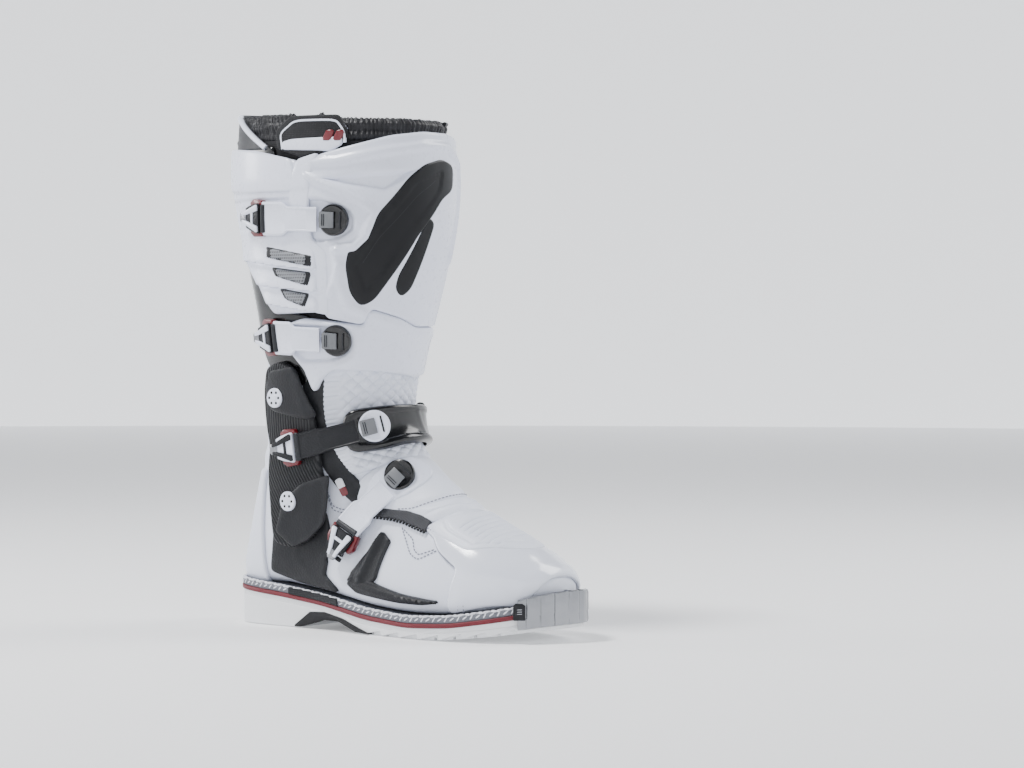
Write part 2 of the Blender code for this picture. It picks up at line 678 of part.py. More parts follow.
class Buckle:
    """A strap with its receiver, lock, lever and catch.

    The receiver sits at `receiver`, the strap runs from it to the lever's pin at `pin`, and the lever lies
    over the catch towards `end`. Each place is (s, t); `floor` and `far_floor` are the heights of the
    surfaces under the receiver and under the lever.
    """

    def __init__(self, name, receiver, pin, end, floor, far_floor, looks, parents, width=STRAP_WIDTH):
        self.name = name
        self.width = width
        self.looks = looks
        self.near, self.far = parents
        self.places = (receiver, pin)
        self.heights = (floor + LAYER_GAP + RECEIVER_HEIGHT / 2, far_floor + PIVOT_RISE)
        self.far_floor = far_floor
        self.up = skin_normal(*receiver)
        self.receiver_seat = skin(*receiver, floor + SEAT_GAP) + self.up * self.bulge(receiver, floor)
        pivot = skin(*pin, self.heights[1])
        tip = skin(*end, self.heights[1])
        middle = ((pin[0] + end[0]) / 2, (pin[1] + end[1]) / 2)
        self.lever_frame = frame_of(pivot, tip - pivot, skin_normal(*middle))
        first = self.route(0.0)[0]
        ahead = self.route(0.3)[0]
        self.receiver_frame = frame_of(self.receiver_seat, ahead - first, self.up)

    def bulge(self, place, floor):
        """Return how far the surface round the receiver rises above its own middle."""
        middle = skin(*place, floor)
        steps = [(ds, dt) for ds in range(-24, 25, 2) for dt in range(-18, 19, 2)]
        around = [skin(place[0] + ds, place[1] + dt, floor) - middle for ds, dt in steps]
        return max(0.0, max(p.dot(self.up) for p in around if p.length < RECEIVER_RADIUS * 1.15))

    def route(self, k):
        """Return the strap's centre and its outward direction at a share of the way to the pin."""
        (s0, t0), (s1, t1) = self.places
        s, t = s0 + (s1 - s0) * k, t0 + (t1 - t0) * k
        height = self.heights[0] + (self.heights[1] - self.heights[0]) * k
        return skin(s, t, height), skin_normal(s, t)

    def strap_start(self):
        """Return the share of the route where the strap leaves the receiver."""
        base = self.route(0.0)[0]
        k = 0.0
        while (self.route(k)[0] - base).length < RECEIVER_RADIUS + 1.0:
            k += 0.005
        return k

    def build(self):
        """Add the buckle's solids and joint empties."""
        start = self.strap_start()
        lever_x = self.lever_frame.to_3x3().col[0].normalized()
        lever_z = self.lever_frame.to_3x3().col[2].normalized()
        pivot = self.lever_frame.translation / MM
        rings = []
        steps = 6
        for i in range(steps + 1):
            centre, up = self.route(start + (0.985 - start) * i / steps)
            if (centre - pivot).dot(lever_x) > -6.5:
                continue
            rings.append((centre, up, STRAP_WALL / 2))
        rings.append((pivot - lever_x * 5.0, lever_z, STRAP_WALL / 2 + 0.4))
        rings.append((pivot - lever_x * 2.4, lever_z, KNUCKLE_RADIUS))
        rings.append((pivot + lever_x * 1.4, lever_z, KNUCKLE_RADIUS))
        rings.append((pivot + lever_x * KNUCKLE_RADIUS, lever_z, KNUCKLE_RADIUS * 0.5))
        first, up, half = rings[0]
        hinge = frame_of(first + up * half, rings[1][0] - first, up)
        strap_joint = joint_empty(f"joint_{self.name}_strap", hinge, self.near)
        mesh = self.strap_mesh(rings)
        strap = make_object(f"{self.name}_strap", mesh, self.looks["strap"], hinge, strap_joint)
        lever_joint = joint_empty(f"joint_{self.name}_lever", self.lever_frame, strap_joint)
        self.build_lever(lever_joint)
        bore = self.cylinder(PIN_RADIUS + PIN_CLEARANCE, self.width + 4)
        combine(strap, bore, "DIFFERENCE")
        self.build_receiver()
        self.build_catch()

    def strap_mesh(self, rings):
        """Return the strap as a loft of flat rings."""
        mesh = bmesh.new()
        loops = []
        for k, (centre, up, half) in enumerate(rings):
            ahead = rings[min(k + 1, len(rings) - 1)][0] - rings[max(k - 1, 0)][0]
            side = up.cross(ahead).normalized() * self.width / 2
            rise = ahead.cross(side).normalized() * half
            corners = (centre + side + rise, centre - side + rise, centre - side - rise, centre + side - rise)
            loops.append([mesh.verts.new(p * MM) for p in corners])
        for a, b in zip(loops, loops[1:]):
            for i in range(4):
                mesh.faces.new((a[i], a[(i + 1) % 4], b[(i + 1) % 4], b[i]))
        mesh.faces.new(loops[0][::-1])
        mesh.faces.new(loops[-1])
        return finish_mesh(mesh)

    def cylinder(self, radius, length):
        """Return a cylinder on the lever's pin axis."""
        axis = self.lever_frame.to_3x3().col[1].normalized()
        centre = self.lever_frame.translation / MM - axis * length / 2
        return turned([(0, 0), (radius, 0), (radius, length), (0, length)], centre, axis, 12)

    def build_lever(self, joint):
        """Add the lever: a plate with two ears and the pin between them."""
        length = LEVER_LENGTH
        profile = [
            (-2.9, -1.2), (-1.2, -2.9), (1.2, -2.9), (4.2, -0.5), (length, -0.5), (length, 0.9),
            (length - 4, 2.6), (4.2, 3.1), (-1.2, 2.9), (-2.9, 1.2),
        ]
        inner = self.width / 2 + PIN_CLEARANCE
        outer = inner + EAR_WALL
        mesh = prism(profile, outer, self.lever_frame)
        lever = make_object(f"{self.name}_lever", mesh, self.looks["lever"], self.lever_frame, joint)
        notch = prism(rectangle(-9, KNUCKLE_RADIUS + 1.1, -9, 9), inner, self.lever_frame)
        combine(lever, notch, "DIFFERENCE")
        combine(lever, self.cylinder(PIN_RADIUS, 2 * outer - 1.0), "UNION")

    def build_receiver(self):
        """Add the round receiver and its lock flap."""
        outward = self.receiver_frame.to_3x3().col[2].normalized()
        radius, height = RECEIVER_RADIUS, RECEIVER_HEIGHT
        profile = [(0, 0), (radius, 0), (radius, height - 1.2), (radius - 1.4, height), (0, height)]
        mesh = turned(profile, self.receiver_seat, outward, 20)
        name = f"{self.name}_receiver"
        make_object(name, mesh, self.looks["receiver"], self.receiver_frame, self.near, smooth=True)
        above = height + SEAT_GAP + LOCK_WALL / 2
        hinge = self.receiver_frame @ Matrix.Translation(Vector((-1.0, 0, above)) * MM)
        joint = joint_empty(f"joint_{self.name}_lock", hinge, self.near)
        half = LOCK_WALL / 2
        outline = [(0, -half), (LOCK_LENGTH, -half), (LOCK_LENGTH, 0), (LOCK_LENGTH - 1, half), (0, half)]
        make_object(f"{self.name}_lock", prism(outline, LOCK_WIDTH / 2, hinge), "grey_plastic", hinge, joint)

    def build_catch(self):
        """Add the toothed catch under the lever."""
        low, high = 1.75 - PIVOT_RISE, -0.5 - SEAT_GAP
        start, end = 5.0, LEVER_LENGTH + 2.5
        teeth = [(start, high - 0.9)]
        count = 4
        pitch = (end - start) / count
        for k in range(count):
            teeth.append((start + pitch * (k + 0.75), high))
            teeth.append((start + pitch * (k + 1), high - 0.9))
        outline = [(start, low), (end, low)] + teeth[::-1]
        mesh = prism(outline, self.width / 2 - 1.0, self.lever_frame)
        make_object(f"{self.name}_catch", mesh, "red_plastic", self.lever_frame, self.far)


def make_foot():
    """Add the foot's shell and the panels on it."""
    sock("foot_shell", FOOT_RIM, "white_leather")
    panel("footbed", FOOTBED, (-LINER_WALL - SEAT_GAP - FOOTBED_WALL, -LINER_WALL - SEAT_GAP), "dark_fabric")
    panel("toe_cap", TOE_CAP, OVERLAY, "white_leather")
    panel("lateral_wedge", WEDGE, OVERLAY, "black_rubber")
    panel("lateral_side_panel", SIDE_PANEL, OVERLAY, "black_plastic")
    panel("medial_side_panel", mirrored(SIDE_PANEL), OVERLAY, "black_plastic")
    panel("heel_counter", HEEL_COUNTER, OVERLAY, "white_leather")
    panel("heel_trim", HEEL_TRIM, (ARMOUR[0], ARMOUR[0] + OVERLAY_WALL), "black_rubber")
    panel("instep_plate", INSTEP_PLATE, OVERLAY, "white_plastic")


def make_brace(lower):
    """Add the ankle brace: two side plates, the yoke over the instep and the pivot bolts."""
    for side, label in ((1, "lateral"), (-1, "medial")):
        outline = BRACE_SIDE if side > 0 else mirrored(BRACE_SIDE)
        plate = panel(f"brace_{label}", outline, BRACE, "black_plastic", lower)
        combine(plate, bolt(f"bolt_{label}_lower", LOWER_PIVOT, side, lower), "DIFFERENCE")
        combine(plate, bolt(f"bolt_{label}_upper", UPPER_PIVOT, side, lower), "DIFFERENCE")
    panel("ankle_yoke", YOKE_PANEL, YOKE, "black_gloss", lower)
    panel("flex_front_lower", FLEX_FRONT_LOW, (-LINER_WALL, 0), "white_mesh", lower)
    panel("flex_rear_lower", FLEX_REAR_LOW, (-LINER_WALL, 0), "white_mesh", lower)


def make_shaft(upper):
    """Add the shaft: liner, collar, calf plate, outer wing, inner frame and the flap at the rim."""
    panel("flex_front_upper", FLEX_FRONT_UP, (-LINER_WALL, 0), "white_mesh", upper)
    panel("flex_rear_upper", FLEX_REAR_UP, (-LINER_WALL, 0), "white_mesh", upper)
    band("shaft_liner", [(378, -180), (378, 180)], SHAFT_HEM, (-LINER_WALL, 0), "dark_fabric", upper)
    collar = (-LINER_WALL, 0.4)
    band("gaiter_collar", [(400, -180), (400, 180)], [(379, -180), (379, 180)], collar, "dark_fabric", upper)
    panel("calf_plate", CALF_PLATE, OVERLAY, "black_gloss", upper)
    panel("cuff_band", CUFF_BAND, OVERLAY, "grey_plastic", upper)
    panel("shaft_wing", WING, ARMOUR, "white_plastic", upper, VENTS)
    panel("vent_mesh", VENT_MESH, OVERLAY, "grey_plastic", upper)
    panel("medial_frame", MEDIAL_FRAME, OVERLAY, "white_leather", upper)
    panel("medial_grip", MEDIAL_GRIP, (ARMOUR[0], ARMOUR[0] + OVERLAY_WALL), "black_rubber", upper)
    top, bottom = skin(392, FLAP_HINGE_T, OVERLAY[0]), skin(378, FLAP_HINGE_T, OVERLAY[0])
    outward = skin_normal(385, FLAP_HINGE_T)
    hinge = frame_of((top + bottom) / 2, outward.cross(top - bottom), outward)
    flap_joint = joint_empty("joint_collar_flap", hinge, upper)
    panel("collar_flap", COLLAR_FLAP, OVERLAY, "dark_fabric", flap_joint)


def make_shin(upper):
    """Add the shin plate, which opens round its inner edge, and return its joint empty."""
    top, bottom = skin(372, -58, ARMOUR[0]), skin(206, -58, ARMOUR[0])
    middle = (top + bottom) / 2
    axis = (top - bottom).normalized()
    outward = skin_normal(290, -58)
    hinge = frame_of(middle, axis.cross(outward), outward)
    joint = joint_empty("joint_shin_plate", hinge, upper)
    panel("shin_plate_upper", SHIN_UPPER, ARMOUR, "white_plastic", joint)
    panel("shin_plate_lower", SHIN_LOWER, ARMOUR, "white_plastic", joint)
    panel("shin_blade", BLADE, (ARMOUR[1] + SEAT_GAP, ARMOUR[1] + SEAT_GAP + 1.4), "black_gloss", joint)
    return joint


def make_buckles(lower, upper, shin):
    """Add the four straps with their buckles."""
    dark = {"strap": "white_plastic", "lever": "white_plastic", "receiver": "black_plastic"}
    light = {"strap": "black_plastic", "lever": "white_plastic", "receiver": "white_plastic"}
    Buckle("top", (318, 63), (319, 101), (321, 124), ARMOUR[1], ARMOUR[1], dark, (shin, upper)).build()
    Buckle("shin", (226, 60), (229, 101), (230, 128), ARMOUR[1], ARMOUR[1], dark, (shin, upper)).build()
    Buckle("ankle", (146, 33), (144, 86), (147, 112), YOKE[1], BRACE[1], light, (lower, lower)).build()
    Buckle("instep", (84, 30), (50, 72), (22, 96), OVERLAY[1], OVERLAY[1], dark, (None, None)).build()


def main():
    """Build the boot."""
    clear_scene()
    make_sole()
    make_foot()
    lower_point = stretched(LOWER_PIVOT[0], 0, LOWER_PIVOT[1])
    upper_point = stretched(UPPER_PIVOT[0], 0, UPPER_PIVOT[1])
    lower = joint_empty("joint_ankle_lower", Matrix.Translation(lower_point * MM))
    upper = joint_empty("joint_ankle_upper", Matrix.Translation(upper_point * MM), lower)
    make_brace(lower)
    make_shaft(upper)
    shin = make_shin(upper)
    make_buckles(lower, upper, shin)


main()
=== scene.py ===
"""Right off-road motorcycle boot in full detail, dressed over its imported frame.

Sizes are in millimetres until a mesh is written, and then in metres in the frame's own space: +X to the
toe, -Y to the outer side and +Z up. Every piece rides on one of the frame's bodies.
"""
import json
import logging
import math
from contextlib import contextmanager
from dataclasses import dataclass, field
from enum import Enum
from typing import Callable, Iterator, Optional, Sequence, Union

import bpy
import numpy as np
from mathutils import Matrix, Vector


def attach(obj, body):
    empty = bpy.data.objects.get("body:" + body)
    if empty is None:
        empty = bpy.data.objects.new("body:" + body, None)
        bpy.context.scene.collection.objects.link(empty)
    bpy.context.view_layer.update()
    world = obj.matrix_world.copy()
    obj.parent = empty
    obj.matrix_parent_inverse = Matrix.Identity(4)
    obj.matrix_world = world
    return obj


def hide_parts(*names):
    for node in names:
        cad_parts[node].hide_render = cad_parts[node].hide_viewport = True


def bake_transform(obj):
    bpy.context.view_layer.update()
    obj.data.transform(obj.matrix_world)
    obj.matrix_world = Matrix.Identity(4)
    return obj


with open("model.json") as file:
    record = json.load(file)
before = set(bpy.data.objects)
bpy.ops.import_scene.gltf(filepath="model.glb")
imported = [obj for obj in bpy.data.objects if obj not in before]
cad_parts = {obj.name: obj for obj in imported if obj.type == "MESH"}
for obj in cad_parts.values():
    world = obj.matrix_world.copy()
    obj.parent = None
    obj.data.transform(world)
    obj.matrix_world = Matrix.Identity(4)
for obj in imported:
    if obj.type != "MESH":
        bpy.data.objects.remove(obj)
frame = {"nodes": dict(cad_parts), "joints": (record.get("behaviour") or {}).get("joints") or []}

LOG = logging.getLogger("boot")
MM = 0.001
Place = tuple[float, float]
Relief = Callable[[np.ndarray], np.ndarray]
Colour = tuple[float, float, float]
Socket = bpy.types.NodeSocket
SIDES = ((1, "outer"), (-1, "inner"))

# The last's sections: label, front x and z, rear x and z, outer and inner half width, widest share of the
# depth, front and rear fullness, and centre.
SECTIONS = (
    (400, 127, 394, -40, 400, 64, 62, 0.0, 2.3, 2.2, 0), (345, 130, 340, -41, 345, 67, 64, 0.0, 2.3, 2.2, 0),
    (290, 123, 286, -32, 290, 63, 60, 0.0, 2.3, 2.2, 0), (240, 110, 237, -21, 238, 56, 53, 0.0, 2.3, 2.2, 0),
    (200, 101, 202, -16, 193, 50, 48, 0.0, 2.3, 2.2, 0), (165, 98, 172, -18, 152, 46, 44, 0.0, 2.3, 2.2, 0),
    (136, 104, 150, -26, 115, 44, 42, 0.0, 2.2, 2.2, 0), (108, 116, 135, -36, 76, 42, 40, 0.0, 2.2, 2.3, 0),
    (80, 131, 122, -41, 36, 40, 39, -0.10, 2.2, 2.6, 0), (45, 146, 111, 12, 32, 40, 37, -0.30, 2.1, 4.0, 0),
    (9, 163, 100, 60, 27, 43, 37, -0.40, 2.1, 5.0, 0), (-24, 180, 90, 105, 20, 48, 42, -0.45, 2.1, 5.0, 0),
    (-59, 198, 80, 150, 17, 50, 46, -0.50, 2.1, 5.0, 1), (-90, 216, 70, 190, 19, 47, 45, -0.50, 2.2, 5.0, 3),
    (-116, 233, 59, 222, 24, 37, 38, -0.50, 2.3, 4.0, 5),
    (-135, 246, 47, 243, 28, 22, 24, -0.40, 2.3, 3.0, 7), (-143, 251, 38, 251, 33, 4, 4, -0.20, 2.2, 2.2, 8),
)

# The size, in metres, of the faces that a padded piece is rebuilt with before it is filled.
PAD_VOXEL = 0.0045

# Heights above the last of the layers that the frame is built in.
OVERLAY_TOP, ARMOUR_LOW, ARMOUR_TOP = 2.6, 3.4, 6.4
BRACE_LOW, BRACE_TOP, YOKE_LOW, YOKE_TOP = 4.8, 8.0, 8.8, 11.8


class Grain(Enum):
    """The fine surface of a finish."""

    SATIN = "satin"
    LEATHER = "leather"
    WEAVE = "weave"
    RIBBED = "ribbed"
    SCALES = "scales"
    RUBBER = "rubber"
    BRUSHED = "brushed"
    SCREEN = "screen"


@dataclass
class Graph:
    """The nodes of one material, added with their settings and joined by their inputs."""

    tree: bpy.types.NodeTree

    def feed(self, node: bpy.types.Node, **inputs: Union[Socket, float, tuple]) -> bpy.types.Node:
        """Link or set a node's inputs, where an underscore stands for a space."""
        for name, value in inputs.items():
            place = node.inputs[int(name[1:]) if name[1:].isdigit() else name.replace("_", " ")]
            if isinstance(value, Socket):
                self.tree.links.new(value, place)
            else:
                place.default_value = value
        return node

    def add(self, kind: str, settings: Optional[dict[str, str]] = None, **inputs: object) -> bpy.types.Node:
        """Add a node with its settings and inputs."""
        node = self.tree.nodes.new(f"ShaderNode{kind}")
        for name, value in (settings or {}).items():
            setattr(node, name, value)
        return self.feed(node, **inputs)

    def noise(self, where: Socket, scale: float, detail: float) -> Socket:
        """Add a noise pattern and return its value."""
        return self.add("TexNoise", Scale=scale, Detail=detail, Vector=where).outputs["Fac"]

    def mixed(self, share: Socket, first: Union[Socket, Colour], second: Colour) -> Socket:
        """Add a blend of two colours and return it."""
        start = first if isinstance(first, Socket) else (*first, 1.0)
        item = self.add("Mix", {"data_type": "RGBA"}, A=start, B=(*second, 1.0), Factor=share)
        return item.outputs["Result"]

    def stripes(self, place: Socket, axis: str, count: float) -> Socket:
        """Add even ribs across a pattern place and return their height."""
        return self.add("TexWave", {"bands_direction": axis}, Scale=count, Vector=place).outputs["Fac"]

    def cells(self, place: Socket, count: float) -> Socket:
        """Add small cells and return the distance from their middles."""
        return self.add("TexVoronoi", Scale=count, Vector=place).outputs["Distance"]

    def joined(self, operation: str, first: Socket, second: Union[Socket, float]) -> Socket:
        """Join two heights by a sum, a product or the larger."""
        return self.add("Math", {"operation": operation}, _0=first, _1=second).outputs[0]


@dataclass(frozen=True)
class Finish:
    """One finish of the boot: its colours, gloss and fine surface."""

    name: str
    slot: str
    colour: Colour
    shade: Colour
    roughness: float
    grain: Grain
    bump: float = 0.3
    coat: float = 0.0
    sheen: float = 0.0
    metallic: float = 0.0
    worn: float = 0.15

    def material(self) -> bpy.types.Material:
        """Return the finish as a material, made the first time that it is asked for."""
        found = bpy.data.materials.get(self.name)
        if found:
            return found
        made = bpy.data.materials.new(self.name)
        made.use_nodes = True
        graph = Graph(made.node_tree)
        flat_black = sum(self.colour) < 0.15 and not self.coat
        shader = graph.feed(
            made.node_tree.nodes["Principled BSDF"], Metallic=self.metallic, Coat_Weight=self.coat,
            Coat_Roughness=0.12, Sheen_Weight=self.sheen, Specular_IOR_Level=0.22 if flat_black else 0.5,
        )
        where = graph.add("TexCoord").outputs["Object"]
        colour = graph.mixed(graph.noise(where, 55.0, 3.0), self.colour, self.shade)
        edge = graph.add("Attribute", {"attribute_name": "edge"}).outputs["Fac"]
        height, distance = self.surface(graph, where)
        if self.grain is Grain.SCREEN:
            surface = graph.mixed(height, (0.012, 0.012, 0.014), self.colour)
        else:
            dark = sum(self.colour) < 1.2
            rubbed = tuple(min(1.0, c * 1.6 + 0.05) if dark else c * 0.72 for c in self.colour)
            surface = graph.mixed(graph.joined("MULTIPLY", edge, self.worn), colour, rubbed)
        spread = graph.add(
            "MapRange", To_Min=max(0.04, self.roughness - 0.06), To_Max=min(1.0, self.roughness + 0.08),
            Value=graph.noise(where, 240.0, 2.0),
        )
        relief = graph.add("Bump", Strength=self.bump, Distance=distance, Height=height)
        graph.feed(
            shader, Base_Color=surface, Roughness=spread.outputs["Result"], Normal=relief.outputs["Normal"]
        )
        return made

    def surface(self, graph: Graph, where: Socket) -> tuple[Socket, float]:
        """Return the height of the fine surface and its depth in metres."""
        laid = graph.add("UVMap", {"uv_map": "pattern"}).outputs["UV"]
        if self.grain is Grain.LEATHER:
            return graph.cells(where, 620.0), 0.0005
        if self.grain in (Grain.WEAVE, Grain.SCREEN):
            count = 2.2 if self.grain is Grain.WEAVE else 1.5
            return graph.joined("MAXIMUM", *(graph.stripes(laid, axis, count) for axis in "XY")), 0.0004
        if self.grain is Grain.RIBBED:
            return graph.stripes(laid, "X", 1.25), 0.0009
        if self.grain is Grain.SCALES:
            return graph.joined("ADD", graph.cells(laid, 3.2), graph.stripes(laid, "DIAGONAL", 0.8)), 0.0008
        if self.grain is Grain.BRUSHED:
            drawn = graph.add("Mapping", Scale=(1.0, 1.0, 14.0), Vector=where)
            return graph.noise(drawn.outputs["Vector"], 180.0, 4.0), 0.0003
        if self.grain is Grain.RUBBER:
            return graph.noise(where, 1500.0, 2.0), 0.0003
        return graph.noise(where, 2600.0, 2.0), 0.00012


WHITE_SHELL = Finish(
    "white_shell", "white_plastic", (0.76, 0.79, 0.90), (0.73, 0.76, 0.88), 0.28, Grain.SATIN, 0.15,
    coat=0.25,
)
WHITE_LEATHER = Finish(
    "white_leather_grain", "white_leather", (0.76, 0.79, 0.88), (0.71, 0.74, 0.84), 0.40, Grain.LEATHER,
    0.22,
)
WHITE_BOX = Finish(
    "white_toe_box", "white_leather", (0.77, 0.80, 0.89), (0.75, 0.78, 0.88), 0.16, Grain.SATIN, 0.08,
    coat=0.6,
)
WHITE_QUILT = Finish(
    "white_quilt", "white_mesh", (0.74, 0.77, 0.86), (0.69, 0.72, 0.82), 0.62, Grain.WEAVE, 0.25, sheen=0.15,
)
WHITE_SOLE = Finish(
    "white_sole", "white_rubber", (0.80, 0.81, 0.82), (0.74, 0.75, 0.77), 0.55, Grain.RUBBER, 0.3,
)
WHITE_THREAD = Finish(
    "white_thread", "white_leather", (0.80, 0.81, 0.85), (0.62, 0.63, 0.68), 0.7, Grain.WEAVE, 0.4,
    sheen=0.2,
)
BLACK_PANEL = Finish(
    "black_panel", "black_plastic", (0.0095, 0.0100, 0.0120), (0.0150, 0.0155, 0.0180), 0.40, Grain.LEATHER,
    0.35, worn=0.25,
)
BLACK_RIBBED = Finish(
    "black_ribbed", "black_plastic", (0.0080, 0.0085, 0.0100), (0.0140, 0.0145, 0.0165), 0.46, Grain.RIBBED,
    0.8, worn=0.2,
)
BLACK_GLOSS = Finish(
    "black_gloss_shell", "black_gloss", (0.0022, 0.0022, 0.0028), (0.0036, 0.0036, 0.0042), 0.18,
    Grain.SATIN, 0.06, coat=0.12, worn=0.05,
)
BLACK_BLADE = Finish(
    "black_blade", "black_gloss", (0.0060, 0.0063, 0.0075), (0.0090, 0.0094, 0.0110), 0.33, Grain.SATIN, 0.1,
    worn=0.1,
)
BLACK_CLOTH = Finish(
    "black_cloth", "dark_fabric", (0.0075, 0.0075, 0.0090), (0.0170, 0.0170, 0.0190), 0.72, Grain.WEAVE, 0.5,
    sheen=0.08,
)
BLACK_SATIN = Finish(
    "black_gathered_satin", "dark_fabric", (0.0090, 0.0090, 0.0105), (0.0240, 0.0240, 0.0270), 0.34,
    Grain.WEAVE, 0.3, sheen=0.1,
)
BLACK_RUBBER = Finish(
    "black_tread", "black_rubber", (0.0100, 0.0100, 0.0115), (0.0180, 0.0180, 0.0195), 0.62, Grain.RUBBER,
    0.6, worn=0.25,
)
BLACK_GRIP = Finish(
    "black_grip", "black_rubber", (0.0080, 0.0080, 0.0095), (0.0150, 0.0150, 0.0170), 0.44, Grain.SCALES,
    0.9, worn=0.25,
)
GREY_SHELL = Finish(
    "grey_shell", "grey_plastic", (0.017, 0.018, 0.021), (0.028, 0.029, 0.033), 0.40, Grain.SATIN, 0.3,
    worn=0.35,
)
GREY_TIP = Finish(
    "grey_tip", "grey_plastic", (0.115, 0.120, 0.130), (0.150, 0.156, 0.166), 0.40, Grain.BRUSHED, 0.3,
)
GREY_SCREEN = Finish(
    "grey_screen", "grey_plastic", (0.22, 0.23, 0.25), (0.28, 0.29, 0.31), 0.5, Grain.SCREEN, 0.5,
)
GREY_TAPE = Finish(
    "grey_tape", "grey_plastic", (0.022, 0.023, 0.027), (0.045, 0.046, 0.052), 0.50, Grain.WEAVE, 0.5,
)
RED_SHELL = Finish(
    "red_shell", "red_plastic", (0.13, 0.0008, 0.006), (0.10, 0.0006, 0.005), 0.30, Grain.SATIN, 0.15,
    coat=0.3,
)
RED_RAND = Finish(
    "red_rand", "red_plastic", (0.14, 0.0012, 0.010), (0.11, 0.0010, 0.008), 0.50, Grain.RUBBER, 0.25,
)
STEEL = Finish(
    "brushed_steel", "steel", (0.34, 0.35, 0.37), (0.22, 0.225, 0.24), 0.20, Grain.BRUSHED, 0.3,
    metallic=1.0,
)
# Welt finish: white leather darkened to grey as painted shade, so the thread stitches on it read as
# shadowed.
WELT_PAINTED_SHADE = Finish(
    "welt_painted_shade", "white_leather", (0.16, 0.165, 0.19), (0.11, 0.115, 0.135), 0.6, Grain.LEATHER, 0.4,
)
# Grey seam thread; the same grey also paints the shadow line along the toe box's rear edge.
GREY_SEAM_AND_SHADOW_LINE = Finish(
    "grey_seam_thread_and_shadow_line", "white_leather", (0.24, 0.25, 0.31), (0.18, 0.19, 0.24), 0.7, Grain.WEAVE, 0.3,
)


class Last:
    """The boot's skin: a smooth loft of closed sections.

    A place on it is (s, t): s labels the section, 400 at the rim and -143 at the toe tip, and t is the angle
    round it in degrees, 0 at the front, 90 at the outer side, 180 at the rear and -90 at the inner side. A
    flat place is (u, s), where u is the arc from the front in millimetres.
    """

    ROW_STEP = 3.0
    TURN = 280

    def __init__(self, sections: Sequence[Sequence[float]]) -> None:
        """Draw the last through its sections.

        Args:
            sections: the sections from the rim to the toe.
        """
        self.table = np.array(sections, float)[::-1]
        self.labels = self.table[:, 0]
        self.rows = np.arange(-143.0, 406.0, self.ROW_STEP)
        self.turns = np.arange(-self.TURN, self.TURN + 1.0)
        fine = self.point(self.rows[:, None], self.turns[None, :])
        steps = np.linalg.norm(np.diff(fine, axis=1), axis=-1)
        arcs = np.concatenate([np.zeros((len(self.rows), 1)), np.cumsum(steps, axis=1)], axis=1)
        self.arcs = arcs - arcs[:, self.TURN : self.TURN + 1]

    def section(self, s: np.ndarray) -> np.ndarray:
        """Return the section's sizes at each label, smooth along the boot."""
        values, labels = self.table[:, 1:], self.labels
        gaps = np.diff(labels)[:, None]
        slopes = np.diff(values, axis=0) / gaps
        tangents = np.zeros_like(values)
        tangents[1:-1] = (slopes[:-1] * gaps[1:] + slopes[1:] * gaps[:-1]) / (gaps[:-1] + gaps[1:])
        tangents[0], tangents[-1] = slopes[0], slopes[-1]
        i = np.clip(np.searchsorted(labels, s, side="right") - 1, 0, len(labels) - 2)
        h = gaps[i]
        v = ((s - labels[i]) / h[..., 0])[..., None]
        return (
            values[i] * (2 * v**3 - 3 * v**2 + 1) + tangents[i] * h * (v**3 - 2 * v**2 + v)
            + values[i + 1] * (3 * v**2 - 2 * v**3) + tangents[i + 1] * h * (v**3 - v**2)
        )

    def point(self, s: np.ndarray, t: np.ndarray) -> np.ndarray:
        """Return the skin's points at places (s, t)."""
        s, t = np.broadcast_arrays(np.asarray(s, float), np.asarray(t, float))
        fx, fz, bx, bz, outer, inner, middle, front, rear, centre = np.moveaxis(self.section(s), -1, 0)
        cosine, sine = np.cos(np.radians(t)), np.sin(np.radians(t))
        power = 2 / np.where(cosine >= 0, front, rear)
        along, across = np.abs(cosine) ** power, np.abs(sine) ** power
        q = np.where(cosine >= 0, middle + (1 - middle) * along, middle - (1 + middle) * along)
        y = centre + np.where(sine >= 0, -outer, inner) * across
        return np.stack([(fx + bx) / 2 + q * (fx - bx) / 2, y, (fz + bz) / 2 + q * (fz - bz) / 2], -1)

    def normal(self, s: np.ndarray, t: np.ndarray) -> np.ndarray:
        """Return the outward directions at places (s, t)."""
        s, t = np.broadcast_arrays(np.asarray(s, float), np.asarray(t, float))
        up = self.point(s + 1.5, t) - self.point(s - 1.5, t)
        turn = self.point(s, t + 1.2) - self.point(s, t - 1.2)
        return unit(np.cross(up, turn))

    def lift(self, s: np.ndarray, t: np.ndarray, height: np.ndarray) -> np.ndarray:
        """Return points at a height above places (s, t)."""
        return self.point(s, t) + self.normal(s, t) * np.asarray(height, float)[..., None]

    def mixed_row(self, s: np.ndarray) -> tuple[np.ndarray, np.ndarray]:
        """Return the lower table row of each label and the share of the next."""
        r = np.clip((s - self.rows[0]) / self.ROW_STEP, 0, len(self.rows) - 1.001)
        return r.astype(int), r - r.astype(int)

    def flat(self, places: Sequence[Place]) -> np.ndarray:
        """Return places (s, t) as flat places (u, s)."""
        s, t = np.array(places, float).T
        i, share = self.mixed_row(s)
        c = np.clip(t + self.TURN, 0, 2 * self.TURN - 0.001)
        j = c.astype(int)
        part = c - j
        lower = self.arcs[i, j] * (1 - part) + self.arcs[i, j + 1] * part
        upper = self.arcs[i + 1, j] * (1 - part) + self.arcs[i + 1, j + 1] * part
        return np.stack([lower * (1 - share) + upper * share, s], -1)

    def angle(self, flat: np.ndarray) -> np.ndarray:
        """Return the angle t of flat places (u, s)."""
        out = []
        for k in range(0, len(flat), 4000):
            u, s = flat[k : k + 4000].T
            i, share = self.mixed_row(s)
            rows = self.arcs[i] * (1 - share)[:, None] + self.arcs[i + 1] * share[:, None]
            j = np.clip((rows < u[:, None]).sum(axis=1), 1, rows.shape[1] - 1)
            n = np.arange(len(u))
            low, high = rows[n, j - 1], rows[n, j]
            out.append(self.turns[j - 1] + (u - low) / np.maximum(high - low, 1e-9))
        return np.concatenate(out)

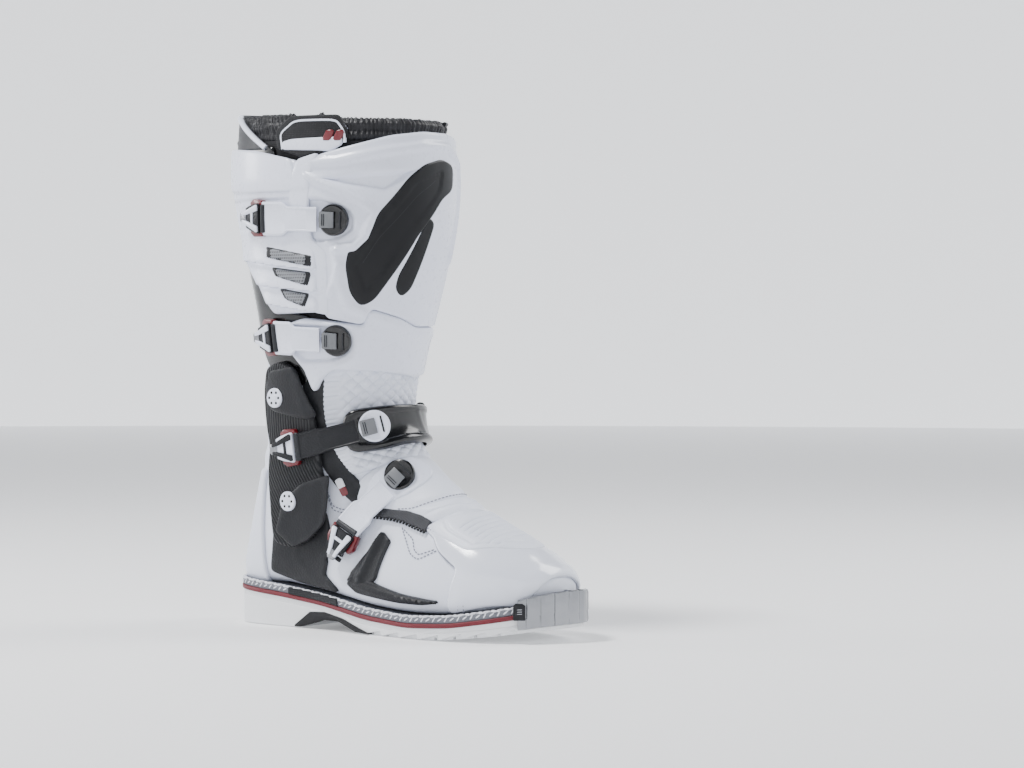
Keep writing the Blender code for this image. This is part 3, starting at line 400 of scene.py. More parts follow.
    def wrap(self, flat: np.ndarray, height: np.ndarray) -> np.ndarray:
        """Return the points at flat places and heights."""
        return self.lift(flat[:, 1], self.angle(flat), height)


LAST = Last(SECTIONS)


# Drawing on the flat pattern.


def rounded(loop: np.ndarray, radius: float, step: float = 2.0) -> np.ndarray:
    """Return a closed outline with round corners and evenly short edges.

    Args:
        loop: the outline's corners.
        radius: how far each corner is cut back.
        step: the longest edge.
    """
    out: list[np.ndarray] = []
    count = len(loop)
    for k in range(count):
        before, here, after = loop[k - 1], loop[k], loop[(k + 1) % count]
        reach = [np.linalg.norm(p - here) for p in (before, after)]
        cut = min(radius, 0.46 * reach[0], 0.46 * reach[1])
        a, b = here + (before - here) / reach[0] * cut, here + (after - here) / reach[1] * cut
        pieces = max(2, int(cut / 0.9))
        for v in np.linspace(0, 1, pieces + 1):
            out.append((1 - v) ** 2 * a + 2 * v * (1 - v) * here + v**2 * b)
    return evened(np.array(out), step)


def unit(directions: np.ndarray) -> np.ndarray:
    """Return directions at length one."""
    return directions / np.maximum(np.linalg.norm(directions, axis=-1, keepdims=True), 1e-9)


def mirrored(side: int, outline: Sequence[Place]) -> list[Place]:
    """Return an outline on the outer side, or with a side of -1 on the inner side."""
    return [(s, side * t) for s, t in outline]


def evened(loop: np.ndarray, step: float, closed: bool = True) -> np.ndarray:
    """Return a line's points about one step apart.

    Args:
        loop: the line's points.
        step: the distance wanted between two points.
        closed: whether the line ends where it starts.
    """
    ends = np.vstack([loop, loop[:1]]) if closed else loop
    lengths = np.concatenate([[0], np.cumsum(np.linalg.norm(np.diff(ends, axis=0), axis=1))])
    count = max(4, int(round(lengths[-1] / step)))
    at = np.linspace(0, lengths[-1], count + 1)
    out = np.stack([np.interp(at, lengths, ends[:, c]) for c in range(ends.shape[1])], -1)
    return out[:-1] if closed else out


def swept(loop: np.ndarray) -> float:
    """Return twice the area of a closed outline, positive where it runs anticlockwise."""
    x, y = loop[:, 0], loop[:, 1]
    return float(np.sum(x * np.roll(y, -1) - np.roll(x, -1) * y))


def distances(points: np.ndarray, line: np.ndarray, closed: bool = False) -> np.ndarray:
    """Return each point's distance from a line of points.

    Args:
        points: the points to measure.
        line: the line's points.
        closed: whether the line ends where it starts.
    """
    ends = np.vstack([line, line[:1]]) if closed else line
    best = np.full(len(points), 1e9)
    for a, b in zip(ends[:-1], ends[1:]):
        side = b - a
        share = np.clip(((points - a) @ side) / max(side @ side, 1e-12), 0, 1)
        best = np.minimum(best, np.linalg.norm(points - a - share[:, None] * side, axis=1))
    return best


def inside(points: np.ndarray, loop: np.ndarray) -> np.ndarray:
    """Tell which points lie inside a closed outline."""
    found = np.zeros(len(points), bool)
    for a, b in zip(loop, np.roll(loop, -1, axis=0)):
        crosses = (a[1] > points[:, 1]) != (b[1] > points[:, 1])
        rise = b[1] - a[1] if abs(b[1] - a[1]) > 1e-12 else 1e-12
        found ^= crosses & (points[:, 0] < a[0] + (b[0] - a[0]) * (points[:, 1] - a[1]) / rise)
    return found


def ridge(places: Sequence[Place], width: float, height: float) -> Relief:
    """Return a raised line, or with a negative height a groove, along places (s, t).

    Args:
        places: the line's corners.
        width: how far from the line the height has mostly gone.
        height: the height on the line.
    """
    line = LAST.flat(places)
    return lambda flat: height * np.exp(-((distances(flat, line) / width) ** 2))


def field_of(places: Sequence[Place], slope: float, height: float) -> Relief:
    """Return a raised field, or with a negative height a recess, inside places (s, t).

    Args:
        places: the field's corners.
        slope: the width of its sloping edge.
        height: the height in its middle.
    """
    loop = rounded(LAST.flat(places), 3.0)

    def relief(flat: np.ndarray) -> np.ndarray:
        share = np.clip(distances(flat, loop, True) / slope, 0, 1)
        return np.where(inside(flat, loop), height * share * share * (3 - 2 * share), 0.0)

    return relief


def together(*reliefs: Relief) -> Relief:
    """Return the sum of several reliefs."""
    return lambda flat: sum(relief(flat) for relief in reliefs)


# How rows of points join into faces.


def ribbon_faces(count: int, sides: int, closed: bool = False) -> list[tuple[int, ...]]:
    """Return the faces of rings of a few points each, one after another, filled at open ends.

    Args:
        count: the number of rings.
        sides: the number of points in a ring.
        closed: whether the last ring meets the first.
    """
    faces = []
    for k in range(count if closed else count - 1):
        n = (k + 1) % count
        for i in range(sides):
            j = (i + 1) % sides
            faces.append((k * sides + i, n * sides + i, n * sides + j, k * sides + j))
    if not closed:
        faces += [tuple(range(sides)), tuple((count - 1) * sides + i for i in reversed(range(sides)))]
    return faces


def sheet_faces(rows: int, columns: int, rows_meet: bool, columns_meet: bool) -> list[tuple[int, ...]]:
    """Return the faces between rows of points, each as long as the number of columns.

    Args:
        rows: the number of rows.
        columns: the number of points in a row.
        rows_meet: whether the last row meets the first.
        columns_meet: whether each row meets itself.
    """
    faces = []
    for k in range(rows if rows_meet else rows - 1):
        here, after = k * columns, (k + 1) % rows * columns
        for i in range(columns if columns_meet else columns - 1):
            j = (i + 1) % columns
            faces.append((here + i, here + j, after + j, after + i))
    return faces


# Blender's tools, used as by hand on one piece at a time.


def deselect() -> None:
    """Leave nothing selected and no object in edit mode."""
    if bpy.context.mode != "OBJECT":
        bpy.ops.object.mode_set(mode="OBJECT")
    bpy.ops.object.select_all(action="DESELECT")


def take(item: bpy.types.Object) -> bpy.types.Object:
    """Make an object the only selected and active one."""
    deselect()
    item.select_set(True)
    bpy.context.view_layer.objects.active = item
    return item


@contextmanager
def opened(item: bpy.types.Object) -> Iterator[None]:
    """Open a piece in edit mode with all of it selected, and close it afterwards."""
    take(item)
    bpy.ops.object.mode_set(mode="EDIT")
    bpy.ops.mesh.select_all(action="SELECT")
    yield
    bpy.ops.object.mode_set(mode="OBJECT")


def outward() -> None:
    """Turn every face of the opened piece outward."""
    bpy.ops.mesh.select_all(action="SELECT")
    bpy.ops.mesh.normals_make_consistent(inside=False)


def facing_out(item: bpy.types.Object) -> bpy.types.Object:
    """Turn every face of a closed piece outward."""
    with opened(item):
        outward()
    return item


def coordinates(item: bpy.types.Object) -> np.ndarray:
    """Return an object's vertices."""
    out = np.empty(len(item.data.vertices) * 3)
    item.data.vertices.foreach_get("co", out)
    return out.reshape(-1, 3)


def move_to(item: bpy.types.Object, points: np.ndarray) -> None:
    """Write an object's vertices."""
    item.data.vertices.foreach_set("co", np.ascontiguousarray(points, float).ravel())
    item.data.update()


def modified(item: bpy.types.Object, kind: str, **settings: object) -> bpy.types.Object:
    """Add a modifier with settings to an object and apply it."""
    take(item)
    modifier = item.modifiers.new(kind.title(), kind)
    for key, value in settings.items():
        setattr(modifier, key, value)
    bpy.ops.object.modifier_apply(modifier=modifier.name)
    return item


def blank(name: str, loop: np.ndarray) -> bpy.types.Object:
    """Return a filled circle whose rim is laid on an outline, facing up."""
    if swept(loop) < 0:
        loop = loop[::-1]
    deselect()
    bpy.ops.mesh.primitive_circle_add(vertices=len(loop), radius=1.0, fill_type="NGON")
    item = bpy.context.object
    item.name = item.data.name = name
    laid = loop if swept(coordinates(item)) > 0 else loop[::-1]
    move_to(item, np.column_stack([laid, np.zeros(len(laid))]))
    return item


def cut_across(axis: int, places: Sequence[float]) -> None:
    """Cut the opened sheet right through at places along one axis."""
    direction = [0.0, 0.0, 0.0]
    direction[axis] = 1.0
    for place in places:
        bpy.ops.mesh.select_all(action="SELECT")
        bpy.ops.mesh.bisect(plane_co=[place * d for d in direction], plane_no=direction)


def pattern_sheet(
    name: str, loop: np.ndarray, rows: Sequence[float], step: float, finer: bool,
) -> bpy.types.Object:
    """Return a flat sheet with rows of faces along its edge and a lattice inside.

    Args:
        name: the piece's name.
        loop: the outline.
        rows: the width of each row along the edge.
        step: the lattice's step.
        finer: whether every face is split once more.
    """
    item = blank(name, loop)
    low, high = loop.min(axis=0), loop.max(axis=0)
    with opened(item):
        for width in rows:
            bpy.ops.mesh.inset(thickness=width, depth=0.0)
        for axis in (0, 1):
            cut_across(axis, np.arange(math.floor(low[axis] / step) + 1, high[axis] / step) * step)
        if finer:
            bpy.ops.mesh.select_all(action="SELECT")
            bpy.ops.mesh.subdivide(number_cuts=1)
    return item


def lay_pattern(item: bpy.types.Object, flat: np.ndarray) -> None:
    """Store flat places, in centimetres, as the piece's pattern map."""
    layer = item.data.uv_layers.new(name="pattern")
    corners = np.empty(len(item.data.loops), int)
    item.data.loops.foreach_get("vertex_index", corners)
    layer.data.foreach_set("uv", (flat[corners] / 10.0).ravel())


def mark_edge(item: bpy.types.Object, share: np.ndarray) -> None:
    """Store how close to an edge each vertex is, from 0 to 1."""
    item.data.attributes.new("edge", "FLOAT", "POINT").data.foreach_set("value", share.astype(np.float32))


def node_points(node: str) -> np.ndarray:
    """Return a frame node's vertices in millimetres."""
    item = frame["nodes"][node]
    return np.array([item.matrix_world @ v.co for v in item.data.vertices]) / MM


def smooth(item: bpy.types.Object, degrees: float = 45.0) -> bpy.types.Object:
    """Shade an object smooth with sharp edges past an angle."""
    take(item)
    bpy.ops.object.shade_smooth_by_angle(angle=math.radians(degrees))
    return item


def dress(item: bpy.types.Object, finish: Finish, body: str, nodes: Sequence[str] = ()) -> bpy.types.Object:
    """Give a finished piece its finish, its body and the nodes that it stands for.

    Args:
        item: the piece.
        finish: its finish.
        body: the body that it rides on, or an empty name to leave it on none.
        nodes: the frame's nodes that it replaces.

    Returns:
        The piece.
    """
    item.data.materials.clear()
    item.data.materials.append(finish.material())
    if body:
        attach(item, body)
    if nodes:
        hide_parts(*nodes)
    LOG.info("%s: %d faces on %s", item.name, len(item.data.polygons), body)
    return item


def from_arrays(
    name: str, points: np.ndarray, faces: Sequence[Sequence[int]], pattern: Optional[np.ndarray] = None,
) -> bpy.types.Object:
    """Return an object from points in millimetres and faces.

    Args:
        name: the piece's name.
        points: its vertices.
        faces: the numbers of each face's vertices.
        pattern: flat places for its pattern map, one to a vertex.
    """
    data = bpy.data.meshes.new(name)
    data.from_pydata((points * MM).tolist(), [], [list(map(int, f)) for f in faces])
    data.validate()
    item = bpy.data.objects.new(name, data)
    bpy.context.scene.collection.objects.link(item)
    if pattern is not None:
        lay_pattern(item, pattern)
    return item


@dataclass
class Panel:
    """A panel lasted on the boot: an outline in (s, t) between two heights, with a rolled edge."""

    name: str
    outline: Sequence[Place]
    low: float
    high: float
    finish: Finish
    body: str
    nodes: Sequence[str] = ()
    corner: float = 3.0
    edge: float = 1.0
    step: float = 3.0
    finer: bool = False
    wall: float = 0.9
    crown: float = 0.0
    crown_width: float = 9.0
    relief: Optional[Relief] = None

    def shape(self) -> bpy.types.Object:
        """Return the panel's mesh, in metres."""
        loop = rounded(LAST.flat(self.outline), self.corner)
        roll = min(self.edge, self.high - self.low)
        shares = (0.03, 0.13, 0.5, 1.0)
        rows = [roll * (b - a) for a, b in zip((0.0,) + shares, shares)]
        item = pattern_sheet(self.name, loop, rows, self.step, self.finer)
        flat = coordinates(item)[:, :2]
        depth = distances(flat, loop, True)
        rise = np.sqrt(np.clip(roll**2 - (roll - np.minimum(depth, roll)) ** 2, 0, None))
        height = np.where(depth < 0.01 * roll, self.low, self.high - roll + rise)
        share = np.clip((depth - roll) / self.crown_width, 0, 1)
        height = height + self.crown * np.sin(share * math.pi / 2)
        if self.relief:
            fade = np.clip(depth / (2.0 * roll + 0.01), 0, 1)
            height = height + self.relief(flat) * fade
        lay_pattern(item, flat)
        mark_edge(item, np.exp(-depth / 1.2))
        move_to(item, LAST.wrap(flat, height) * MM)
        modified(item, "SOLIDIFY", thickness=self.wall * MM, offset=-1.0)
        return smooth(item)

    def make(self) -> bpy.types.Object:
        """Return the finished panel on its body."""
        return dress(self.shape(), self.finish, self.body, self.nodes)


@dataclass
class Sleeve:
    """A closed tube round the boot between two edges."""

    name: str
    top: Sequence[Place]
    bottom: Sequence[Place]
    height: float
    wall: float
    finish: Finish
    body: str
    nodes: Sequence[str] = ()
    columns: int = 140
    rows: int = 60
    drawn_at: float = 290.0
    relief: Optional[Relief] = None

    @staticmethod
    def edge_at(edge: Sequence[Place], t: np.ndarray) -> np.ndarray:
        """Return the label of an edge at each angle, the same on both sides."""
        labels, turns = np.array(sorted(edge, key=lambda p: p[1]), float).T
        return np.interp(np.abs(t), turns, labels)

    def make(self) -> bpy.types.Object:
        """Return the finished sleeve on its body."""
        deselect()
        bpy.ops.mesh.primitive_grid_add(x_subdivisions=self.columns, y_subdivisions=self.rows, size=2.0)
        item = bpy.context.object
        item.name = item.data.name = self.name
        grid = coordinates(item)
        half = LAST.flat([(self.drawn_at, -180.0), (self.drawn_at, 180.0)])[:, 0]
        arc = half[0] + (half[1] - half[0]) * (grid[:, 0] + 1) / 2
        t = LAST.angle(np.column_stack([arc, np.full(len(arc), self.drawn_at)]))
        t = np.where(grid[:, 0] < -0.9999, -180.0, np.where(grid[:, 0] > 0.9999, 180.0, t))
        share = (grid[:, 1] + 1) / 2
        s = self.edge_at(self.bottom, t) * (1 - share) + self.edge_at(self.top, t) * share
        flat = LAST.flat(list(zip(s, t)))
        height = np.full(len(s), self.height)
        if self.relief:
            height = height + self.relief(flat)
        lay_pattern(item, flat)
        move_to(item, LAST.lift(s, t, height) * MM)
        with opened(item):
            bpy.ops.mesh.remove_doubles(threshold=1e-6)
            outward()
        modified(item, "SOLIDIFY", thickness=self.wall * MM, offset=-1.0)
        return dress(smooth(item, 60.0), self.finish, self.body, self.nodes)


def trace(
    places: Sequence[Place], height: float, step: float, closed: bool = False, bend: float = 2.5,
) -> tuple[np.ndarray, np.ndarray, np.ndarray]:
    """Return a line on the boot through places (s, t).

    Args:
        places: the line's corners.
        height: the line's height above the last.
        step: the distance between its points.
        closed: whether it ends where it starts.
        bend: how far its corners are cut back.

    Returns:
        The points, the directions along the line and the outward directions.
    """
    flat = LAST.flat(places)
    if closed:
        flat = rounded(flat, bend, 1.0)
    elif len(flat) > 2:
        spans = np.linspace(0, len(flat) - 1, 40 * len(flat))
        flat = np.stack([np.interp(spans, range(len(flat)), flat[:, c]) for c in (0, 1)], -1)
        kernel = np.ones(25) / 25
        padded = np.pad(flat, ((12, 12), (0, 0)), mode="edge")
        eased = np.stack([np.convolve(padded[:, c], kernel, "valid") for c in (0, 1)], -1)
        eased[0], eased[-1] = flat[0], flat[-1]
        flat = eased
    else:
        flat = np.linspace(flat[0], flat[1], 40)
    line = evened(LAST.wrap(flat, np.full(len(flat), height)), step, closed)
    places_back = evened(flat, 1.0, closed)
    at = np.linspace(0, len(places_back) - 1, len(line)).astype(int)
    out = LAST.normal(places_back[at, 1], LAST.angle(places_back[at]))
    along = heading(line) if closed else unit(np.gradient(line, axis=0))
    return line, along, out


def heading(line: np.ndarray) -> np.ndarray:
    """Return the directions along a closed line."""
    return unit(np.roll(line, -1, axis=0) - np.roll(line, 1, axis=0))


def tube(
    name: str, line: np.ndarray, along: np.ndarray, out: np.ndarray, width: float, rise: float,
    sides: int = 8, closed: bool = False,
) -> bpy.types.Object:
    """Return a flat oval cord along a line.

    Args:
        name: the piece's name.
        line: the line's points.
        along: the directions along it.
        out: the outward directions.
        width: the cord's width.
        rise: the cord's height.
        sides: the number of points round it.
        closed: whether it ends where it starts.
    """
    across = unit(np.cross(out, along))
    turns = np.arange(sides) * 2 * math.pi / sides
    rings = [line + across * math.cos(a) * width / 2 + out * math.sin(a) * rise / 2 for a in turns]
    points = np.stack(rings, 1).reshape(-1, 3)
    return smooth(facing_out(from_arrays(name, points, ribbon_faces(len(line), sides, closed))), 60.0)


def repeated(name: str, source: bpy.types.Object, frames: Sequence[np.ndarray]) -> bpy.types.Object:
    """Return one mesh of a small piece, in millimetres, copied to many frames, and remove the piece.

    Args:
        name: the new piece's name.
        source: the small piece.
        frames: where each copy goes.
    """
    shape = coordinates(source)
    faces = [tuple(p.vertices) for p in source.data.polygons]
    points, polygons = [], []
    for k, matrix in enumerate(frames):
        points.append(shape @ matrix[:3, :3].T + matrix[:3, 3])
        polygons += [tuple(v + k * len(shape) for v in f) for f in faces]
    bpy.data.objects.remove(source, do_unlink=True)
    return smooth(from_arrays(name, np.vstack(points), polygons), 50.0)


def frame_from(origin: np.ndarray, x: np.ndarray, y: np.ndarray, z: np.ndarray) -> np.ndarray:
    """Return a frame from its origin and its three directions."""
    matrix = np.eye(4)
    matrix[:3, 0], matrix[:3, 1], matrix[:3, 2], matrix[:3, 3] = x, y, z, origin
    return matrix


def frames_along(
    line: np.ndarray, along: np.ndarray, out: np.ndarray, twist: Sequence[float] = (0.0,),
) -> list[np.ndarray]:
    """Return a frame at each point of a line, its X along it and its Z outward.

    Args:
        line: the line's points.
        along: the directions along it.
        out: the outward directions.
        twist: the turns about Z, in radians, taken one after another.
    """
    frames = []
    for k, (p, a, o) in enumerate(zip(line, along, out)):
        angle = twist[k % len(twist)]
        x = a * math.cos(angle) + unit(np.cross(o, a)) * math.sin(angle)
        y = np.cross(o, x)
        frames.append(frame_from(p, x, y, np.cross(x, y)))
    return frames


def bead_source(length: float, width: float, rise: float) -> bpy.types.Object:
    """Return one thread stitch, in millimetres."""
    deselect()
    bpy.ops.mesh.primitive_uv_sphere_add(segments=8, ring_count=5, radius=0.5)
    item = bpy.context.object
    with opened(item):
        bpy.ops.transform.rotate(value=math.pi / 2, orient_axis="Y", center_override=(0, 0, 0))
        bpy.ops.transform.resize(value=(length, width, rise))
    return item


def stitching(
    name: str, places: Sequence[Place], height: float, body: str, finish: Finish = WHITE_THREAD,
    pitch: float = 3.0, length: float = 2.3, width: float = 1.0, closed: bool = False,
) -> bpy.types.Object:
    """Return a row of stitches on its body.

    Args:
        name: the piece's name.
        places: the seam's corners.
        height: its height above the last.
        body: the body it rides on.
        finish: the thread's finish.
        pitch: the distance between stitches.
        length: a stitch's length.
        width: a stitch's width.
        closed: whether the seam ends where it starts.
    """
    line, along, out = trace(places, height, pitch, closed)
    item = repeated(name, bead_source(length, width, width * 0.8), frames_along(line, along, out))
    return dress(item, finish, body)


def piping(
    name: str, places: Sequence[Place], height: float, body: str, finish: Finish, width: float = 1.6,
    closed: bool = False, rise: float = 0.0,
) -> bpy.types.Object:
    """Return a thin cord laid on the boot, on its body.

    Args:
        name: the piece's name.
        places: the cord's corners.
        height: its height above the last.
        body: the body it rides on.
        finish: its finish.
        width: its width.
        closed: whether it ends where it starts.
        rise: its height, or 0 for its width.
    """
    line, along, out = trace(places, height, 1.6, closed)
    return dress(tube(name, line, along, out, width, rise or width, closed=closed), finish, body)


def plate(
    name: str, outline: Sequence[Place], low: float, high: float, bevel: float = 0.4,
) -> bpy.types.Object:
    """Return a flat plate in millimetres: an outline in X and Y, drawn out in Z, with soft edges.

    Args:
        name: the plate's name.
        outline: its corners.
        low: its underside's height.
        high: its top's height.
        bevel: the width of its soft edges.
    """
    item = blank(name, np.array(outline, float))
    with opened(item):
        bpy.ops.transform.translate(value=(0, 0, low))
        bpy.ops.mesh.extrude_region_move(TRANSFORM_OT_translate={"value": (0, 0, high - low)})
        outward()
    return modified(
        item, "BEVEL", width=bevel, segments=2, limit_method="ANGLE", angle_limit=math.radians(35),
    )


def oblong(half_length: float, half_width: float) -> tuple[Place, ...]:
    """Return a rectangle round the origin."""
    x, y = half_length, half_width
    return (-x, -y), (x, -y), (x, y), (-x, y)


def turned_disc(name: str, profile: Sequence[Place], sides: int = 40) -> bpy.types.Object:
    """Return a disc in millimetres, its rim lofted through (radius, height) pairs from the bottom up.

    Args:
        name: the disc's name.
        profile: the pairs.
        sides: the number of points round it.
    """
    deselect()
    radius, start = profile[0]
    bpy.ops.mesh.primitive_circle_add(
        vertices=sides, radius=radius, fill_type="NGON", location=(0, 0, start),
    )
    item = take(bpy.context.object)
    bpy.ops.object.transform_apply(location=True)
    item.name = name
    with opened(item):
        for (r0, z0), (r1, z1) in zip(profile, profile[1:]):
            bpy.ops.mesh.extrude_region_move(TRANSFORM_OT_translate={"value": (0, 0, z1 - z0)})
            bpy.ops.transform.resize(value=(r1 / r0, r1 / r0, 1.0), center_override=(0, 0, z1))
        outward()
    return item


def set_down(item: bpy.types.Object, matrix: np.ndarray, name: str = "") -> bpy.types.Object:
    """Move a piece made in millimetres in its own frame to its place, in metres.

    Args:
        item: the piece.
        matrix: its frame, in millimetres.
        name: its name, where it changes.

    Returns:
        The piece.
    """
    item.matrix_world = Matrix.Identity(4)
    points = coordinates(item)
    lay_pattern(item, points[:, :2])
    move_to(item, (points @ matrix[:3, :3].T + matrix[:3, 3]) * MM)
    if name:
        item.name = item.data.name = name
    return smooth(item, 35.0)


def axes(origin: np.ndarray, along: np.ndarray, up: np.ndarray) -> np.ndarray:
    """Return a frame in millimetres with X along a direction and Z nearest to another.

    Args:
        origin: the frame's origin.
        along: the direction of X.
        up: the direction that Z comes nearest to.
    """
    x = unit(along)
    y = unit(np.cross(up, x))
    return frame_from(origin, x, y, np.cross(x, y))


def moved_frame(matrix: np.ndarray, x: float, y: float, z: float) -> np.ndarray:
    """Return a frame moved along its own axes."""
    out = matrix.copy()
    out[:3, 3] = matrix[:3, :3] @ np.array([x, y, z]) + matrix[:3, 3]
    return out


def filled_by_air(
    item: bpy.types.Object, voxel: float, cap: float, pressure: float = 4.0,
) -> bpy.types.Object:
    """Swell a closed pad with the cloth solver and keep each point's move under a cap.

    Args:
        item: the pad, in metres.
        voxel: the size of the rebuilt faces.
        cap: the longest move of a point.
        pressure: how hard the filling pushes.
    """
    modified(item, "REMESH", mode="VOXEL", voxel_size=voxel)
    before = coordinates(item)
    take(item)
    cloth = item.modifiers.new("Cloth", "CLOTH")
    cloth.settings.use_pressure = True
    cloth.settings.uniform_pressure_force = pressure
    cloth.settings.effector_weights.gravity = 0.0
    scene = bpy.context.scene
    for number in range(1, 21):
        scene.frame_set(number)
    bpy.ops.object.modifier_apply(modifier=cloth.name)
    scene.frame_set(1)
    moved = coordinates(item) - before
    length = np.linalg.norm(moved, axis=1, keepdims=True)
    move_to(item, before + moved * np.minimum(1.0, cap / np.maximum(length, 1e-9)))
    return item


# The boot's sub-assemblies.

RIM = ((106, 0), (106, 60), (120, 90), (140, 135), (140, 180))
HEM = ((200, 0), (200, 75), (204, 105), (224, 150), (224, 180))


@dataclass
class AnkleFabric:
    """The soft quilted ankle between the foot and the shaft, across both ankle joints."""

    cell: float = 7.6
    puff: float = 2.8
    rim_level: float = 121.9
    split_level: float = 149.5
    hem_level: float = 191.0
    rib_labels: tuple[float, ...] = (216.0, 201.0, 187.0, 174.0)
    rib_sides: int = 12

    def quilt(self, flat: np.ndarray) -> np.ndarray:
        """Return the height of the diamond pillows, which flatten to ribs at the sides."""
        u, s = flat.T
        a, b = (np.abs(np.sin(along * math.pi / (self.cell * 1.414))) for along in (u + s, u - s))
        diamonds = self.puff * np.sqrt(np.clip(a * b, 0, 1))
        ribs = 0.8 * np.abs(np.sin(s * math.pi / 4.0))
        share = np.clip((np.abs(u) - 46.0) / 8.0, 0, 1)
        return diamonds * (1 - share) + ribs * share

    def bent(
        self, item: bpy.types.Object, finish: Finish, nodes: Sequence[str] = (),
    ) -> bpy.types.Object:
        """Dress a piece that lies across one of the two ankle joints, on no body, with its place baked into
        its points.

        Args:
            item: the piece.
            finish: its finish.
            nodes: the nodes that it replaces.

        Returns:
            The piece.
        """
        dress(item, finish, "", nodes)
        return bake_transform(item)

    def make(self) -> None:
        """Build the quilted front, the smooth rear, its bellows ribs and the black side strips."""
        front_low = (
            (151, -100), (151, 0), (151, 100), (124, 100), (107, 62), (104, 30), (104, -30), (107, -62),
            (124, -100),
        )
        front_up = ((208, -96), (206, 0), (208, 96), (149, 102), (149, 0), (149, -102))
        for outline, upper in ((front_low, False), (front_up, True)):
            name, node = ("flex_front_up", "flex_front_upper") if upper else (
                "flex_front_low", "flex_front_lower",
            )
            piece = Panel(
                name, outline, -2.0, 0.2, WHITE_QUILT, "", corner=1.5, edge=0.4, step=2.4, finer=True,
                relief=self.quilt, wall=1.6,
            )
            self.bent(piece.shape(), WHITE_QUILT, (node,))
        rear_low = (
            (172, 84), (172, 180), (172, 276), (120, 276), (138, 225), (139, 180), (138, 135), (120, 84),
        )
        rear_up = (
            (206, 84), (210, 110), (230, 150), (232, 180), (230, 210), (210, 250), (206, 276), (169, 276),
            (169, 180), (169, 84),
        )
        for outline, upper in ((rear_low, False), (rear_up, True)):
            name, node = ("flex_rear_up", "flex_rear_upper") if upper else (
                "flex_rear_low", "flex_rear_lower",
            )
            piece = Panel(
                name, outline, -2.0, 0.1 if upper else 0.0, WHITE_LEATHER, "", corner=1.5, edge=0.4,
                step=3.0, wall=1.6, relief=self.folds,
            )
            self.bent(piece.shape(), WHITE_LEATHER, (node,))
        for k, label in enumerate(self.rib_labels):
            reach = 37.0 - 2.5 * k
            places = [(label + 3.0 * (abs(v) ** 2), 181 + v * reach) for v in np.linspace(-1, 1, 15)]
            line, along, out = trace(places, 1.0, 2.0)
            rib = tube(f"bellows_rib_{k + 1}", line, along, out, 11.5, 6.5, self.rib_sides)
            points = coordinates(rib) / MM
            share = np.repeat(np.linspace(-1, 1, len(line)), self.rib_sides)
            centre = np.repeat(line, self.rib_sides, axis=0)
            taper = np.sqrt(np.clip(1.0 - share**2, 0.02, 1))[:, None]
            move_to(rib, (centre + (points[: len(centre)] - centre) * taper) * MM)
            self.bent(rib, BLACK_GLOSS)
        up = ((206, 62), (199, 71), (178, 72), (149, 69), (149, 80), (178, 84), (200, 90), (208, 84))
        low = (
            (151, 69), (136, 66), (122, 63), (100, 57), (77, 51), (68, 60), (98, 68), (124, 76), (151, 80),
        )
        for side, label in SIDES:
            for name, outline, upper in (
                (f"side_strip_{label}_up", up, True), (f"side_strip_{label}_low", low, False),
            ):
                strip = Panel(
                    name, mirrored(side, outline), 0.2, 2.2, BLACK_PANEL, "", corner=4.0, edge=0.8, step=4.0,
                )
                self.bent(strip.shape(), BLACK_PANEL)

    @staticmethod
    def folds(flat: np.ndarray) -> np.ndarray:
        """Return the soft folds between the bellows ribs."""
        return 0.6 * np.sin(flat[:, 1] * 2 * math.pi / 14.5 + 0.6)


